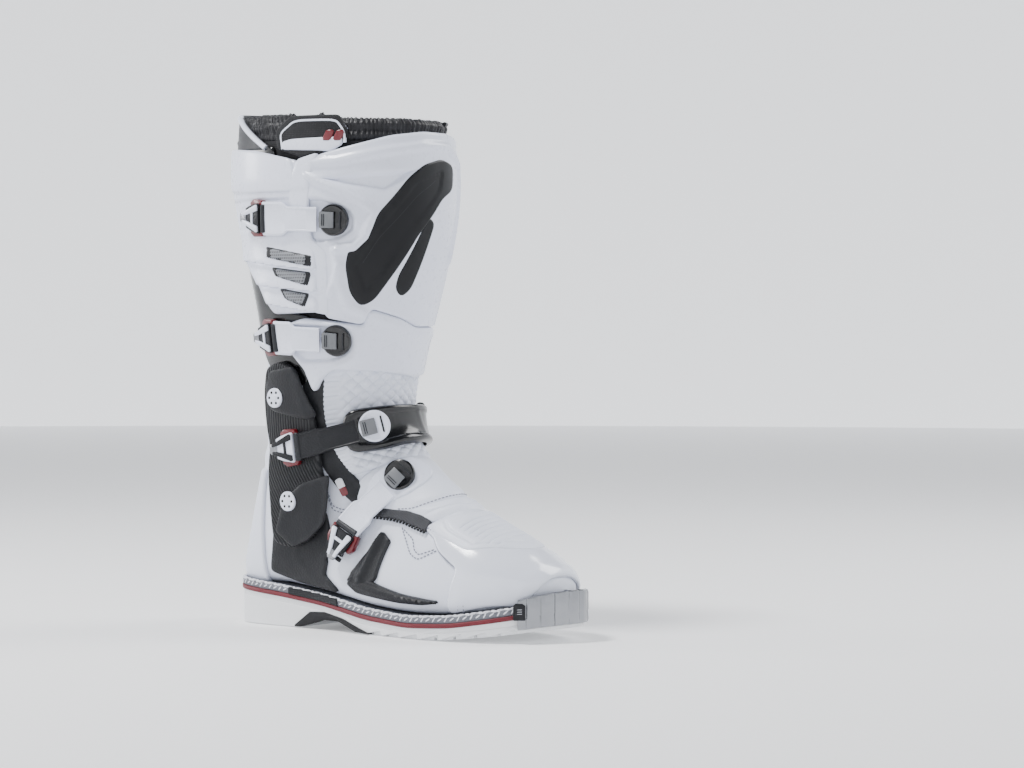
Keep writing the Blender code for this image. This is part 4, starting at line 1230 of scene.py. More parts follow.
@dataclass
class FootUpper:
    """The foot: leather shell, toe box, vamp, side panels, heel and the panels stitched to it."""

    body: str = "foot"

    def make(self) -> None:
        """Build the whole upper."""
        self.shell()
        self.vamp()
        self.sides()
        self.heel()
        self.footbed()

    def shell(self) -> None:
        """Build the leather shell that closes the foot."""
        Sleeve(
            "foot_leather", RIM, ((-143, 0), (-143, 180)), 0.0, 2.2, WHITE_LEATHER, self.body,
            ("foot_shell",), columns=150, rows=110, drawn_at=30.0,
        ).make()

    def vamp(self) -> None:
        """Build the toe box, the ribbed pad over it and the padded instep."""
        toe = (
            (-8, 30), (-6, 46), (-22, 47), (-40, 54), (-72, 63), (-83, 118), (-128, 110), (-134, 60),
            (-134.5, 0), (-134, -60), (-128, -110), (-83, -118), (-72, -63), (-40, -54), (-22, -47),
            (-6, -46), (-8, -30), (-12, 0),
        )
        Panel(
            "toe_box", toe, 0.4, 2.4, WHITE_BOX, self.body, ("toe_cap",), corner=6.0, edge=1.2, step=3.0,
            finer=True, crown=0.5,
        ).make()
        pad = (
            (-7, 43), (-24, 45), (-42, 45), (-66, 46), (-80, 36), (-98, 22), (-104, 8), (-104, -8),
            (-98, -22), (-80, -36), (-66, -44), (-42, -44), (-10, -40), (-20, -16), (-23, 0), (-20, 16),
        )
        Panel(
            "ribbed_vamp_pad", pad, 1.6, 3.5, WHITE_LEATHER, self.body, corner=5.0, edge=1.3, step=2.0,
            finer=True, crown=0.5, relief=self.arcs(),
        ).make()
        gusset = (
            (34, 44), (22, 26), (16, 6), (16, -6), (22, -26), (32, -42), (-2, -38), (-17, -15), (-20, 0),
            (-17, 15), (-2, 40),
        )
        Panel(
            "instep_gusset", gusset, 0.0, 1.6, WHITE_LEATHER, self.body, corner=4.0, edge=1.5, step=2.5,
            finer=True, crown=2.2, crown_width=14.0,
            relief=ridge([(10, 36), (0, 10), (0, -10), (8, -34)], 2.0, -0.8),
        ).make()
        tongue = (
            (103, 38), (99, 54), (80, 62), (58, 55), (40, 49), (26, 44), (20, 26), (17, 8), (17, -8),
            (22, -28), (40, -46), (80, -50), (100, -40), (104, 0),
        )
        Panel(
            "tongue", tongue, 0.2, 2.0, WHITE_LEATHER, self.body, corner=8.0, edge=1.4, step=3.0, finer=True,
            crown=1.4, crown_width=12.0,
        ).make()
        shield = ((100, 8), (103, 32), (92, 50), (72, 55), (56, 46), (52, 34), (60, 14), (80, 2))
        Panel(
            "instep_shield", shield, 2.6, 4.6, WHITE_SHELL, self.body, ("instep_plate",), corner=10.0,
            edge=1.4, step=3.0, finer=True,
        ).make()
        stitching(
            "tongue_seam", [(38, 46), (28, 40), (23, 24), (20, 6), (20, -8), (26, -28), (40, -42)], 3.3,
            self.body, GREY_SEAM_AND_SHADOW_LINE,
        )
        for k, off in enumerate((3.0, 6.5)):
            seam = [
                (-10, 46 - off * 0.2), (-24, 47 - off), (-41, 50 - off), (-69, 59 - off), (-79 - off, 66),
                (-86 - off, 112),
            ]
            stitching(f"toe_seam_{k + 1}", seam, 3.1, self.body, GREY_SEAM_AND_SHADOW_LINE)
            stitching(f"toe_seam_inner_{k + 1}", mirrored(-1, seam), 3.1, self.body, GREY_SEAM_AND_SHADOW_LINE)
        for k, off in enumerate((0.0, 3.4)):
            shape = [
                (13 - off, 55), (-3 - off, 60 - off), (-19, 66 - off), (-30 + off, 67 - off),
                (-37 + off, 56),
            ]
            stitching(f"vamp_seam_{k + 1}", shape, 0.4, self.body, GREY_SEAM_AND_SHADOW_LINE)
        # Grey cords along the toe box's rear edge: a painted shadow line where the box's edge shades the
        # vamp.
        edge = ((-7, 44), (-22, 47.6), (-40, 54.6), (-60, 60), (-73, 64), (-79, 90), (-83.5, 116))
        for side, label in SIDES:
            piping(f"toe_box_edge_{label}", mirrored(side, edge), 1.6, self.body, GREY_SEAM_AND_SHADOW_LINE, 1.1, rise=1.2)
        tape = (
            (66, 60), (50, 52), (30, 44.5), (12, 41), (-3, 40), (-10, 47), (4, 48.5), (20, 50), (34, 53),
            (52, 59),
        )
        Panel("gusset_tape", tape, 0.8, 2.7, GREY_TAPE, self.body, corner=1.5, edge=0.6, step=3.0).make()
        frames = frames_along(*trace([(54, 60.5), (34, 54.5), (18, 51), (-10, 48.5)], 2.0, 3.2))
        teeth = repeated("gusset_teeth", plate("tooth", oblong(0.9, 1.6), 0.0, 1.2, 0.3), frames)
        dress(teeth, BLACK_PANEL, self.body)

    def arcs(self) -> Relief:
        """Return the ribbed pad's shallow curved channels and its border."""
        lines = [
            [(s + 5 * math.cos(math.radians(t * 2.2)), t) for t in np.linspace(-30, 31, 9)]
            for s in range(-86, -30, 8)
        ]
        border = [
            (-14, 34), (-30, 38), (-66, 38), (-84, 26), (-94, 0), (-84, -26), (-66, -38), (-30, -38),
            (-16, -32),
        ]
        return together(*[ridge(line, 1.1, -0.7) for line in lines], ridge(border, 1.0, -0.6))

    def sides(self) -> None:
        """Build the dark side panels, the two-finned wedge and the small tab."""
        outline = (
            (116, 110), (113, 92), (85, 78), (50, 84), (24, 100), (10, 112), (4, 122), (44, 126), (64, 119),
        )
        for side, label in SIDES:
            node = "lateral_side_panel" if side > 0 else "medial_side_panel"
            relief = ridge(mirrored(side, ((96, 92), (60, 96), (20, 116))), 1.2, 0.7)
            Panel(
                f"side_panel_{label}", mirrored(side, outline), 0.2, 2.4, BLACK_PANEL, self.body, (node,),
                corner=3.0, edge=0.9, step=3.0, relief=relief,
            ).make()
            seam = mirrored(side, ((100, 76), (88, 74), (79, 69), (75, 62), (80, 56)))
            stitching(f"collar_seam_{label}", seam, 0.5, self.body, GREY_SEAM_AND_SHADOW_LINE)
            stitching(f"collar_seam_{label}_2", [(s - 4, t) for s, t in seam], 0.5, self.body, GREY_SEAM_AND_SHADOW_LINE)
        up_fin = ((23, 63.5), (8, 66), (-2, 77), (-13, 90), (-8, 96), (4, 95), (8, 90), (13, 78))
        crest = ridge([(22, 64), (8, 78), (-6, 93)], 3.2, 2.4)
        Panel(
            "wedge_fin_up", up_fin, 0.2, 2.0, BLACK_PANEL, self.body, ("lateral_wedge",), corner=1.0,
            edge=0.7, step=2.0, finer=True, relief=crest,
        ).make()
        fore_fin = (
            (2, 92), (-12, 90.5), (-40, 91), (-73, 92), (-62, 96), (-46, 99), (-24, 102), (-9, 105), (2, 98),
        )
        crest = ridge([(0, 95), (-30, 93.5), (-70, 92.2)], 2.6, 2.6)
        Panel(
            "wedge_fin_fore", fore_fin, 0.2, 2.0, BLACK_PANEL, self.body, corner=1.0, edge=0.7, step=2.0,
            finer=True, relief=crest,
        ).make()
        for k, (finish, s0, s1) in enumerate(((WHITE_THREAD, 106, 98), (RED_SHELL, 98, 91))):
            tab = (
                (s0, 70.5 - (112 - s0) * 0.2), (s0, 66.5 - (112 - s0) * 0.15),
                (s1, 66.5 - (112 - s1) * 0.15), (s1, 70.5 - (112 - s1) * 0.2),
            )
            Panel(
                f"side_tab_{k + 1}", tab, 2.2, 3.0, finish, self.body, corner=0.6, edge=0.3, step=3.0,
            ).make()

    def heel(self) -> None:
        """Build the heel counter, its seams and the dark bracket on its inner side."""
        counter = ((138, 132), (139, 180), (138, 228), (60, 225), (60, 180), (60, 138))
        Panel(
            "heel_panel", counter, 0.2, 2.3, WHITE_LEATHER, self.body, ("heel_counter",), corner=8.0,
            edge=1.2, step=4.0, finer=True, crown=0.4,
        ).make()
        for side, label in SIDES:
            for k, off in enumerate((0.0, 4.0)):
                places = [(s, side * (t + off)) for s, t in ((134, 138), (118, 140), (92, 138), (68, 140))]
                stitching(f"heel_seam_{label}_{k + 1}", places, 3.0, self.body, GREY_SEAM_AND_SHADOW_LINE)
        bracket = (
            (131, 176), (133, 186), (133, 224), (124, 224), (124, 196), (106, 196), (100, 226), (86, 226),
            (90, 188), (98, 176),
        )
        Panel(
            "heel_bracket", bracket, 2.4, 4.6, BLACK_PANEL, self.body, ("heel_trim",), corner=2.5, edge=0.9,
            step=3.0, finer=True,
        ).make()

    def footbed(self) -> None:
        """Build the padded footbed."""
        places = (
            (60, 126), (66, 180), (60, 234), (20, 228), (-40, 226), (-100, 226), (-112, 180), (-100, 134),
            (-40, 134), (20, 132),
        )
        pad = Panel(
            "footbed_pad", places, -7.6, -4.6, BLACK_CLOTH, self.body, corner=10.0, edge=1.2, step=7.0,
            wall=2.8,
        )
        item = filled_by_air(pad.shape(), PAD_VOXEL, 0.0012)
        modified(item, "SUBSURF", levels=1, render_levels=1)
        dress(smooth(item), BLACK_CLOTH, self.body, ("footbed",))


@dataclass
class Sole:
    """The sole: welt with its thread, red rand, white cupsole, treads and the steel toe guard."""

    body: str = "foot"
    plan: tuple[Place, ...] = (
        (-47, 0), (-38, -25), (-15, -37), (50, -41), (110, -50), (160, -56), (205, -50), (240, -30),
        (258, 5), (250, 30), (215, 48), (170, 51), (110, 43), (55, 38), (0, 37), (-35, 27),
    )
    welt_wall: float = 5.0
    rand_wall: float = 3.0
    tread_wall: float = 3.5
    points: int = 480
    notched: Place = (104.0, 236.0)
    notch: float = 19.0
    guard_from: float = 237.0
    loop: np.ndarray = field(init=False)

    def __post_init__(self) -> None:
        """Draw the sole's plan as a smooth outline."""
        count = len(self.plan)
        places = np.array(self.plan, float)
        out = []
        for k in range(count):
            a, b, c, d = (places[(k + i - 1) % count] for i in range(4))
            for v in np.linspace(0, 1, 24, endpoint=False):
                out.append(
                    0.5 * (
                        2 * b + (c - a) * v + (
                            2 * a - 5 * b + 4 * c - d
                        ) * v**2 + (3 * b - a - 3 * c + d) * v**3
                    )
                )
        self.loop = evened(np.array(out), 1.0)
        self.loop = self.loop[np.linspace(0, len(self.loop), self.points, endpoint=False).astype(int)]

    def grown(self, distance: float) -> np.ndarray:
        """Return the plan moved outward by a distance."""
        along = heading(self.loop)
        out = np.stack([along[:, 1], -along[:, 0]], -1)
        return self.loop + out * distance * (1 if swept(self.loop) > 0 else -1)

    @staticmethod
    def eased(x: np.ndarray, table: Sequence[Place]) -> np.ndarray:
        """Return a height table's value, eased over its bends."""
        xs, zs = np.array(table, float).T
        return sum(np.interp(x + d, xs, zs) for d in (-9, -6, -3, 0, 3, 6, 9)) / 7

    def welt_top(self, x: np.ndarray) -> np.ndarray:
        """Return the height of the welt's top."""
        under = [(row[3], row[4] - 0.4) for row in SECTIONS if row[0] <= 80]
        return self.eased(x, [(-60, under[0][1]), *under, (275, under[-1][1] + 1.0)])

    def ground(self, x: np.ndarray) -> np.ndarray:
        """Return the height of the tread's underside."""
        return self.eased(x, ((-60, 0), (178, 0), (222, 4.95), (262, 11.0), (290, 11.0)))

    def rand_top(self, x: np.ndarray) -> np.ndarray:
        """Return the height of the rand's top."""
        return self.welt_top(x) - self.welt_wall - 0.2

    def cup_bottom(self, x: np.ndarray) -> np.ndarray:
        """Return the height of the cupsole's underside, with the arch."""
        rise = np.clip(np.minimum((x - 34) / 12, (96 - x) / 12), 0, 1)
        return self.ground(x) + self.tread_wall + 0.3 + 9.0 * rise

    def ring(
        self, distance: float, level: Callable[[np.ndarray], np.ndarray], shift: float = 0.0,
    ) -> np.ndarray:
        """Return the plan grown by a distance at a height."""
        loop = self.grown(distance)
        return np.column_stack([loop, level(loop[:, 0]) + shift])

    def stacked(
        self, name: str, rings: Sequence[np.ndarray], finish: Finish, nodes: Sequence[str],
    ) -> bpy.types.Object:
        """Return a layer lofted through rings from the bottom up, closed above and below.

        Args:
            name: the layer's name.
            rings: its rings.
            finish: its finish.
            nodes: the nodes that it replaces.
        """
        n = self.points
        faces = sheet_faces(len(rings), n, False, True)
        for k, flip in ((0, True), (len(rings) - 1, False)):
            pairs = [
                (k * n + i, k * n + i + 1, k * n + n - 2 - i, k * n + n - 1 - i) for i in range(n // 2 - 1)
            ]
            faces += [p[::-1] if flip else p for p in pairs]
        points = np.vstack(rings)
        arc = np.tile(np.arange(n) * 1.7, len(rings))
        item = facing_out(from_arrays(name, points, faces, np.column_stack([arc, points[:, 2]])))
        return dress(smooth(item, 50.0), finish, self.body, nodes)

    @staticmethod
    def bar(name: str, rows: Sequence[np.ndarray], pattern: slice) -> bpy.types.Object:
        """Return a closed bar of lines of points laid round it, filled at both ends.

        Args:
            name: the bar's name.
            rows: its lines.
            pattern: which two coordinates its pattern map takes.
        """
        n, m = len(rows[0]), len(rows)
        faces = sheet_faces(m, n, True, False)
        faces += [tuple(k * n for k in range(m)), tuple(k * n + n - 1 for k in reversed(range(m)))]
        points = np.vstack(rows)
        return facing_out(from_arrays(name, points, faces, points[:, pattern]))

    def side_row(self, distance: float, side: int, low: float, high: float) -> np.ndarray:
        """Return the plan's points on one side between two places along it, in order."""
        found = (p for p in self.grown(distance) if p[1] * side > 0 and low < p[0] < high)
        return np.array(sorted(found, key=lambda p: p[0]))

    def make(self) -> None:
        """Build the sole."""
        welt = (
            (-6, -5.0), (0.9, -5.0), (1.5, -4.2), (1.5, -1.2), (0.6, -0.2), (-1.4, -0.5), (-4.0, -0.1),
            (-16, 0.0),
        )
        # The welt strip's grey finish is painted shade round its thread stitches.
        self.stacked("welt_strip", [self.ring(d, self.welt_top, z) for d, z in welt], WELT_PAINTED_SHADE, ("welt",))
        rand = ((-6, -3.4), (1.4, -3.4), (2.0, -2.8), (2.0, -0.6), (1.4, 0.0), (-6, 0.0))
        self.stacked("rand_stripe", [self.ring(d, self.rand_top, z) for d, z in rand], RED_RAND, ("rand",))
        self.cupsole()
        self.thread()
        self.toe_guard()
        self.treads()
        self.side_block()

    def cupsole(self) -> None:
        """Build the white cupsole with its stepped lower edge."""
        top, bottom = self.rand_top, self.cup_bottom
        x = self.loop[:, 0]
        start, end = self.notched
        step = (x - start) % self.notch / self.notch
        notch = np.where((x > start) & (x < end), np.clip(step, 0, 1) * 4.0, 0.0)
        lip, lower = self.ring(-0.8, bottom, -0.9), self.ring(0.6, bottom, -0.6)
        for ring in (lip, lower):
            ring[:, 2] -= 2.9 - notch
        upper = ((0.7, -8.5), (0.7, -8.0), (0.4, -7.5), (0.6, -7.0), (0.8, -3.6), (0.2, -3.3), (-8, -3.3))
        rings = [self.ring(-8, bottom), lip, lower, self.ring(0.8, bottom, 1.4)]
        rings += [self.ring(d, top, z) for d, z in upper]
        for ring in rings[4:8]:
            ring[:, 2] = np.maximum(ring[:, 2], rings[3][:, 2] + 0.05)
        self.stacked("white_cupsole", rings, WHITE_SOLE, ("cupsole",))

    def thread(self) -> None:
        """Lay the thick zigzag thread on the welt."""
        up = (0.0, 0.0, 1.0)
        line = evened(self.ring(0.1, self.welt_top, 0.0), 5.0)
        frames = frames_along(line, heading(line), np.tile(up, (len(line), 1)), (0.55, -0.5, 0.35, -0.62))
        keep = [f for f in frames if f[0, 3] < 240]
        dress(repeated("welt_thread", bead_source(6.6, 2.5, 2.3), keep), WHITE_THREAD, self.body)
        line = evened(self.ring(1.35, self.welt_top, -2.3), 5.2)
        along = heading(line)
        keep = [f for f in frames_along(line, along, np.cross(along, up), (0.9, 0.5)) if f[0, 3] < 236]
        dress(repeated("welt_side_thread", bead_source(4.6, 1.3, 1.1), keep), WHITE_THREAD, self.body)

    def toe_guard(self) -> None:
        """Build the segmented steel band round the toe and its black end blocks."""
        loop = self.grown(1.9)
        order = [k for k in range(self.points) if loop[k, 0] > self.guard_from]
        order.sort(key=lambda k: loop[k, 1])
        profile = (
            (0.0, 2.6, 0), (2.4, 3.2, 0), (2.8, 5.5, 0), (2.4, 0.52, 1), (2.8, 0.55, 1), (2.7, 2.6, 2),
            (2.1, 4.6, 2), (0.6, 5.4, 2), (-3.2, 5.0, 2), (-3.2, 3.6, 2), (0.0, 3.4, 2),
        )
        length = np.concatenate([[0], np.cumsum(np.linalg.norm(np.diff(loop[order], axis=0), axis=1))])
        groove = 1.5 * np.exp(-(((length % 11.5) - 5.75) / 1.3) ** 2)
        rings = []
        for distance, rise, kind in profile:
            moved = self.grown(1.9 + distance)[order]
            if 0 < distance:
                moved = moved - (self.grown(2.9)[order] - loop[order]) * groove[:, None]
            ground, top = self.ground(moved[:, 0]), self.welt_top(moved[:, 0])
            z = ground + rise if kind == 0 else (ground + (top - ground) * rise if kind == 1 else top + rise)
            rings.append(np.column_stack([moved, z]))
        band = self.bar("toe_guard_band", rings, slice(0, 2))
        dress(smooth(band, 40.0), STEEL, self.body, ("toe_guard",))
        for k, end in enumerate((order[0], order[-1])):
            here = loop[end]
            step = loop[order[1]] - here if k == 0 else loop[order[-2]] - here
            z = float(self.welt_top(np.array([here[0]]))[0])
            frame_here = axes(
                np.array([*here, z - 3.0]), np.array([*step, 0.0]),
                np.array([0.0, -1.0 if k == 0 else 1.0, 0.0]),
            )
            block = plate(
                f"guard_end_{k + 1}", ((-3.5, -6.5), (5.5, -6.5), (5.5, 4.5), (3, 6), (-2, 6), (-3.5, 4.5)),
                0.6, 3.6, 0.6,
            )
            dress(set_down(block, frame_here), BLACK_PANEL, self.body)
            bars = repeated(
                "bars", plate("bar", ((-1.8, -0.4), (1.8, -0.4), (2.3, 0.4), (-1.3, 0.4)), 0.0, 0.5, 0.12),
                [moved_frame(frame_here, 0.8, y, 3.6) for y in (-1.6, 0.0, 1.6)],
            )
            bars.name = bars.data.name = f"guard_bars_{k + 1}"
            dress(bars, STEEL, self.body)

    def treads(self) -> None:
        """Give the ground pieces their rubber, and face the arch with a dark wedge."""
        for node, finish in (
            ("fore_tread", WHITE_SOLE), ("heel_tread", WHITE_SOLE), ("arch_plug", BLACK_RUBBER),
        ):
            item = frame["nodes"][node]
            item.material_slots[0].material = finish.material()
        for side, label in ((-1, "outer"), (1, "inner")):
            row = self.side_row(0.9, side, 26, 112)
            x = row[:, 0]
            low = self.ground(x) + np.interp(x, (26, 34, 60, 76, 96, 112), (0.6, 0.6, 7.5, 7.5, 0.8, 0.4))
            high = self.ground(x) + np.interp(x, (26, 44, 60, 80, 112), (0.9, 13.2, 14.0, 10.5, 0.8))
            high = np.maximum(high, low + 0.4)
            out = []
            for distance, z in (
                (-3.0, low), (0.6, low), (1.0, low + 0.7), (1.5, (low + high) / 2), (0.8, high - 0.4),
                (-3.0, high),
            ):
                ring = row + np.column_stack([np.zeros(len(row)), row[:, 1]]) * (distance / 45.0)
                out.append(np.column_stack([ring, z]))
            wedge = self.bar(f"arch_wedge_{label}", out, slice(0, 3, 2))
            dress(smooth(wedge, 30.0), BLACK_RUBBER, self.body)

    def side_block(self) -> None:
        """Carry the dark side panels down over the welt's edge."""
        profile = ((-4.0, -5.0), (0.5, -5.0), (0.9, -4.4), (0.9, -0.6), (0.3, 0.2), (-4.0, 0.6))
        for side, label in ((-1, "outer"), (1, "inner")):
            row = self.side_row(1.7, side, 20, 76)
            top = self.welt_top(row[:, 0])
            out = [np.column_stack([row + [0, side * d], top + z]) for d, z in profile]
            dress(smooth(self.bar(f"welt_block_{label}", out, slice(0, 3, 2)), 35.0), BLACK_PANEL, self.body)


@dataclass
class AnkleBrace:
    """The hinged ankle brace: side plates, raised facets, pivot bolts and the yoke over the instep."""

    body: str = "brace"
    bolt_radius: float = 7.6
    bolt_stand: float = 0.9

    def make(self) -> None:
        """Build the brace."""
        plate_outline = (
            (206, 118), (188, 124), (150, 113), (112, 110), (84, 102), (69, 92), (68, 86), (78, 79),
            (102, 75), (140, 75), (164, 78), (184, 87), (203, 91), (210, 100),
        )
        upper = ((206, 92), (196, 88), (166, 75), (164, 80), (170, 94), (176, 112), (190, 119), (204, 112))
        lower = ((112, 71), (114, 88), (106, 99), (90, 101), (70, 92), (67, 87), (74, 78), (94, 74))
        for side, label in ((1, "lateral"), (-1, "medial")):
            Panel(
                f"brace_plate_{label}", mirrored(side, plate_outline), BRACE_LOW, BRACE_TOP, BLACK_RIBBED,
                self.body, (f"brace_{label}",), corner=5.0, edge=1.2, step=3.0, finer=True, wall=1.4,
            ).make()
            for name, outline in (("up", upper), ("low", lower)):
                Panel(
                    f"brace_facet_{name}_{label}", mirrored(side, outline), BRACE_TOP - 0.6, BRACE_TOP + 1.4,
                    BLACK_PANEL, self.body, corner=2.5, edge=0.9, step=3.0, finer=True,
                    relief=ridge(mirrored(side, (outline[1], outline[3])), 4.0, 0.5),
                ).make()
            for name in ("lower", "upper"):
                self.bolt(f"bolt_{label}_{name}", side)
        self.yoke()
        self.strap_pad()

    def bolt(self, node: str, side: int) -> None:
        """Build one white pivot bolt with its ring of six holes."""
        points = node_points(node)
        away = np.array([0.0, -float(side), 0.0])
        far = points[np.argsort(points @ away)[-40:]]
        centre = far.mean(axis=0)
        face = float((far @ away).max())
        centre = centre + away * (face + self.bolt_stand - centre @ away)
        matrix = axes(centre, np.array([1.0, 0.0, 0.0]), away)
        r = self.bolt_radius
        disc = turned_disc(
            "disc",
            (
                (r, -2.6), (r, -0.7), (r - 0.5, -0.15), (r - 1.1, 0.0), (r - 1.8, -0.1), (2.6, -0.1),
                (2.2, 0.25), (0.6, 0.3),
            ),
        )
        dress(set_down(disc, matrix, f"{node}_head"), WHITE_SHELL, self.body, (node,))
        ring = [
            moved_frame(matrix, 4.6 * math.cos(k * math.pi / 3), 4.6 * math.sin(k * math.pi / 3), -0.12)
            for k in range(6)
        ]
        holes = repeated(
            f"{node}_holes", turned_disc("hole", ((1.05, -0.3), (1.05, 0.12), (0.8, 0.16)), 12), ring,
        )
        dress(holes, BLACK_RUBBER, self.body)

    def yoke(self) -> None:
        """Build the glossy yoke with its raised rim."""
        outline = (
            (165, 50), (165, 20), (164, -10), (167, -50), (168, -80), (138, -82), (126, -42), (119, 0),
            (119, 28), (126, 50), (146, 56),
        )
        rim = [(160, 46), (160, 0), (163, -70), (142, -74), (130, -40), (124, 0), (125, 28), (130, 46)]
        Panel(
            "instep_yoke", outline, YOKE_LOW - 1.6, YOKE_TOP, BLACK_GLOSS, self.body, ("ankle_yoke",),
            corner=6.0, edge=1.8, step=3.0, finer=True, wall=1.4,
            relief=together(field_of(rim, 2.0, -0.8), ridge([(160, -8), (124, -12)], 2.0, 0.5)),
        ).make()

    def strap_pad(self) -> None:
        """Build the textured strap pad on the inner side and its end loop."""
        pad = (
            (170, -72), (166, -92), (160, -106), (120, -104), (108, -96), (124, -78), (134, -66), (150, -60),
            (164, -60),
        )
        Panel(
            "inner_strap_pad", pad, BRACE_TOP + 0.4, BRACE_TOP + 3.4, BLACK_GRIP, self.body, corner=4.0,
            edge=1.4, step=3.0, finer=True,
        ).make()
        loop = ((172, -50), (172, -60), (130, -58), (130, -48))
        inner = ((166, -52.5), (166, -57.5), (137, -56), (137, -50.5))
        Panel(
            "inner_strap_loop", loop, YOKE_TOP - 0.6, YOKE_TOP + 2.2, BLACK_PANEL, self.body, corner=3.0,
            edge=1.2, step=2.5, finer=True, relief=field_of(inner, 1.0, -2.2),
        ).make()


@dataclass
class ShaftArmour:
    """The shaft: lining, gathered collar, calf plate, cuff, outer wing with its vents and inner frame."""

    body: str = "shaft"
    fins: tuple = (
        ((306, 133), (307, 84)), ((288, 125), (281, 76)), ((270, 120), (265, 78)), ((256, 112), (250, 80)),
    )
    fin_height: float = 3.2
    collar_points: int = 90

    def make(self) -> None:
        """Build the shaft."""
        Sleeve(
            "shaft_lining", ((379, 0), (379, 180)), HEM, -0.1, 2.6, BLACK_CLOTH, self.body, ("shaft_liner",),
            columns=120, rows=60,
        ).make()
        self.gathered_collar()
        self.calf()
        self.cuff()
        self.wing()
        self.inner_frame()

    def gathered_collar(self) -> None:
        """Build the padded collar with its gathered satin."""
        ring = []
        count, middle, radius = self.collar_points, 43.0, 72.0
        for s, height in (
            (376.5, -6.0), (376.5, 0.0), (384.0, 0.3), (393.0, 0.4), (399.0, -0.6), (400.5, -3.5),
            (398.0, -6.5), (388.0, -7.5),
        ):
            t = np.linspace(-180, 180, count, endpoint=False)
            ring.append(LAST.lift(np.full(count, s), t, np.full(count, height)))
        faces = sheet_faces(len(ring), count, True, True)
        item = facing_out(from_arrays("gathered_collar", np.vstack(ring), faces))
        filled_by_air(item, PAD_VOXEL, 0.0016)
        modified(item, "SUBSURF", levels=2, render_levels=2)
        points = coordinates(item) / MM
        arc = np.arctan2(-points[:, 1], points[:, 0] - middle) * radius
        wave = np.sin(arc * 2.05 + 1.7 * np.sin(arc * 0.31)) * 0.55 + np.sin(
            arc * 3.7 + 2.0 * np.sin(arc * 0.17 + points[:, 2] * 0.12)
        ) * 0.35
        rolls = 0.8 * np.sin((points[:, 2] - 376) * 2 * math.pi / 9.0)
        normals = np.array([v.normal for v in item.data.vertices])
        move_to(item, (points + normals * (wave + rolls)[:, None]) * MM)
        lay_pattern(item, np.column_stack([arc, points[:, 2]]))
        dress(smooth(item, 180.0), BLACK_SATIN, self.body, ("gaiter_collar",))

    def calf(self) -> None:
        """Build the glossy calf plate with its plain disc, squares and bars."""
        outline = (
            (374, 98), (375, 140), (375, 180), (374, 234), (340, 230), (262, 241), (214, 266), (192, 263),
            (202, 248), (229, 213), (231, 180), (229, 148), (200, 114), (190, 98), (192, 84), (243, 80),
            (250, 104), (304, 106),
        )
        relief = together(
            ridge([(228, 150), (244, 160), (244, 200), (228, 210)], 2.2, 1.2),
            ridge([(366, 234), (340, 226), (262, 234), (214, 258)], 1.6, 0.8),
            ridge([(360, 150), (300, 152), (250, 158)], 2.0, 0.7),
        )
        Panel(
            "calf_shell", outline, 0.4, OVERLAY_TOP, BLACK_GLOSS, self.body, ("calf_plate",), corner=5.0,
            edge=1.2, step=4.0, finer=True, relief=relief, crown=0.4,
        ).make()
        disc = [
            (331 + 17 * math.cos(a), 193 + 15 * math.sin(a))
            for a in np.linspace(0, 2 * math.pi, 24, endpoint=False)
        ]
        Panel("calf_disc", disc, 2.6, 4.1, WHITE_SHELL, self.body, corner=0.5, edge=0.5, step=3.0).make()
        marks = [
            ((326, 213), (326, 219), (318, 219.5), (318, 213.5)),
            ((314, 214), (314, 220), (306, 220.5), (306, 214.5)),
            ((296, 214), (296, 221), (284, 229), (284, 222)),
            ((280, 216), (280, 224), (266, 233), (266, 225)),
            ((263, 219), (263, 226), (245, 240), (245, 233)),
        ]
        for k, mark in enumerate(marks):
            Panel(
                f"calf_mark_{k + 1}", mark, 2.6, 4.2, GREY_SCREEN, self.body, corner=0.8, edge=0.4, step=3.0,
            ).make()
            piping(f"calf_mark_edge_{k + 1}", mark, 4.2, self.body, WHITE_SHELL, 1.2, closed=True)
        stitching(
            "calf_seam", [(371, 150), (371, 180), (371, 230)], 3.6, self.body, WHITE_THREAD, 3.4, 2.0, 0.6,
        )

    def cuff(self) -> None:
        """Build the cuff behind the collar, its light windows, lip and edge lines."""
        outline = (
            (372, 100), (382, 114), (395, 132), (401, 160), (402, 180), (401, 215), (399, 248), (386, 262),
            (376, 256), (375, 215), (375, 180), (372, 140),
        )
        relief = together(
            field_of([(394, 186), (394, 208), (384, 208), (383, 186)], 1.0, -1.0),
            field_of([(394, 214), (393, 238), (384, 240), (384, 214)], 1.0, -1.0),
            ridge([(379, 150), (379, 200), (378, 250)], 1.6, 1.4),
        )
        Panel(
            "cuff_wing", outline, 0.4, 3.2, GREY_SHELL, self.body, ("cuff_band",), corner=4.0, edge=1.1,
            step=3.0, finer=True, relief=relief,
        ).make()
        for k, window in enumerate(
            (
                ((393, 187), (393, 207), (385, 207), (384, 187)),
                ((393, 215), (392, 237), (385, 239), (385, 215)),
            )
        ):
            Panel(
                f"cuff_window_{k + 1}", window, 2.0, 2.7, GREY_SCREEN, self.body, corner=1.5, edge=0.3,
                step=3.0,
            ).make()
        piping(
            "cuff_edge", [(373, 103), (383, 116), (395, 134), (400, 152)], 3.4, self.body, WHITE_SHELL, 4.6,
        )
        piping(
            "cuff_edge_top", [(400, 152), (402, 180), (401, 215), (399, 246), (396, 262)], 2.6, self.body,
            BLACK_PANEL, 3.6,
        )
        front = [(396, -20), (397, -50), (397, -80), (396, -98)]
        piping("rim_lip_inner", front, 1.2, self.body, BLACK_PANEL, 3.4)
        rim = ((374, -60), (386, -62), (399, -64), (400, -85), (398, -104), (374, -118))
        Panel(
            "rim_panel_inner", rim, 0.0, 1.6, BLACK_PANEL, self.body, corner=3.0, edge=0.8, step=4.0,
        ).make()

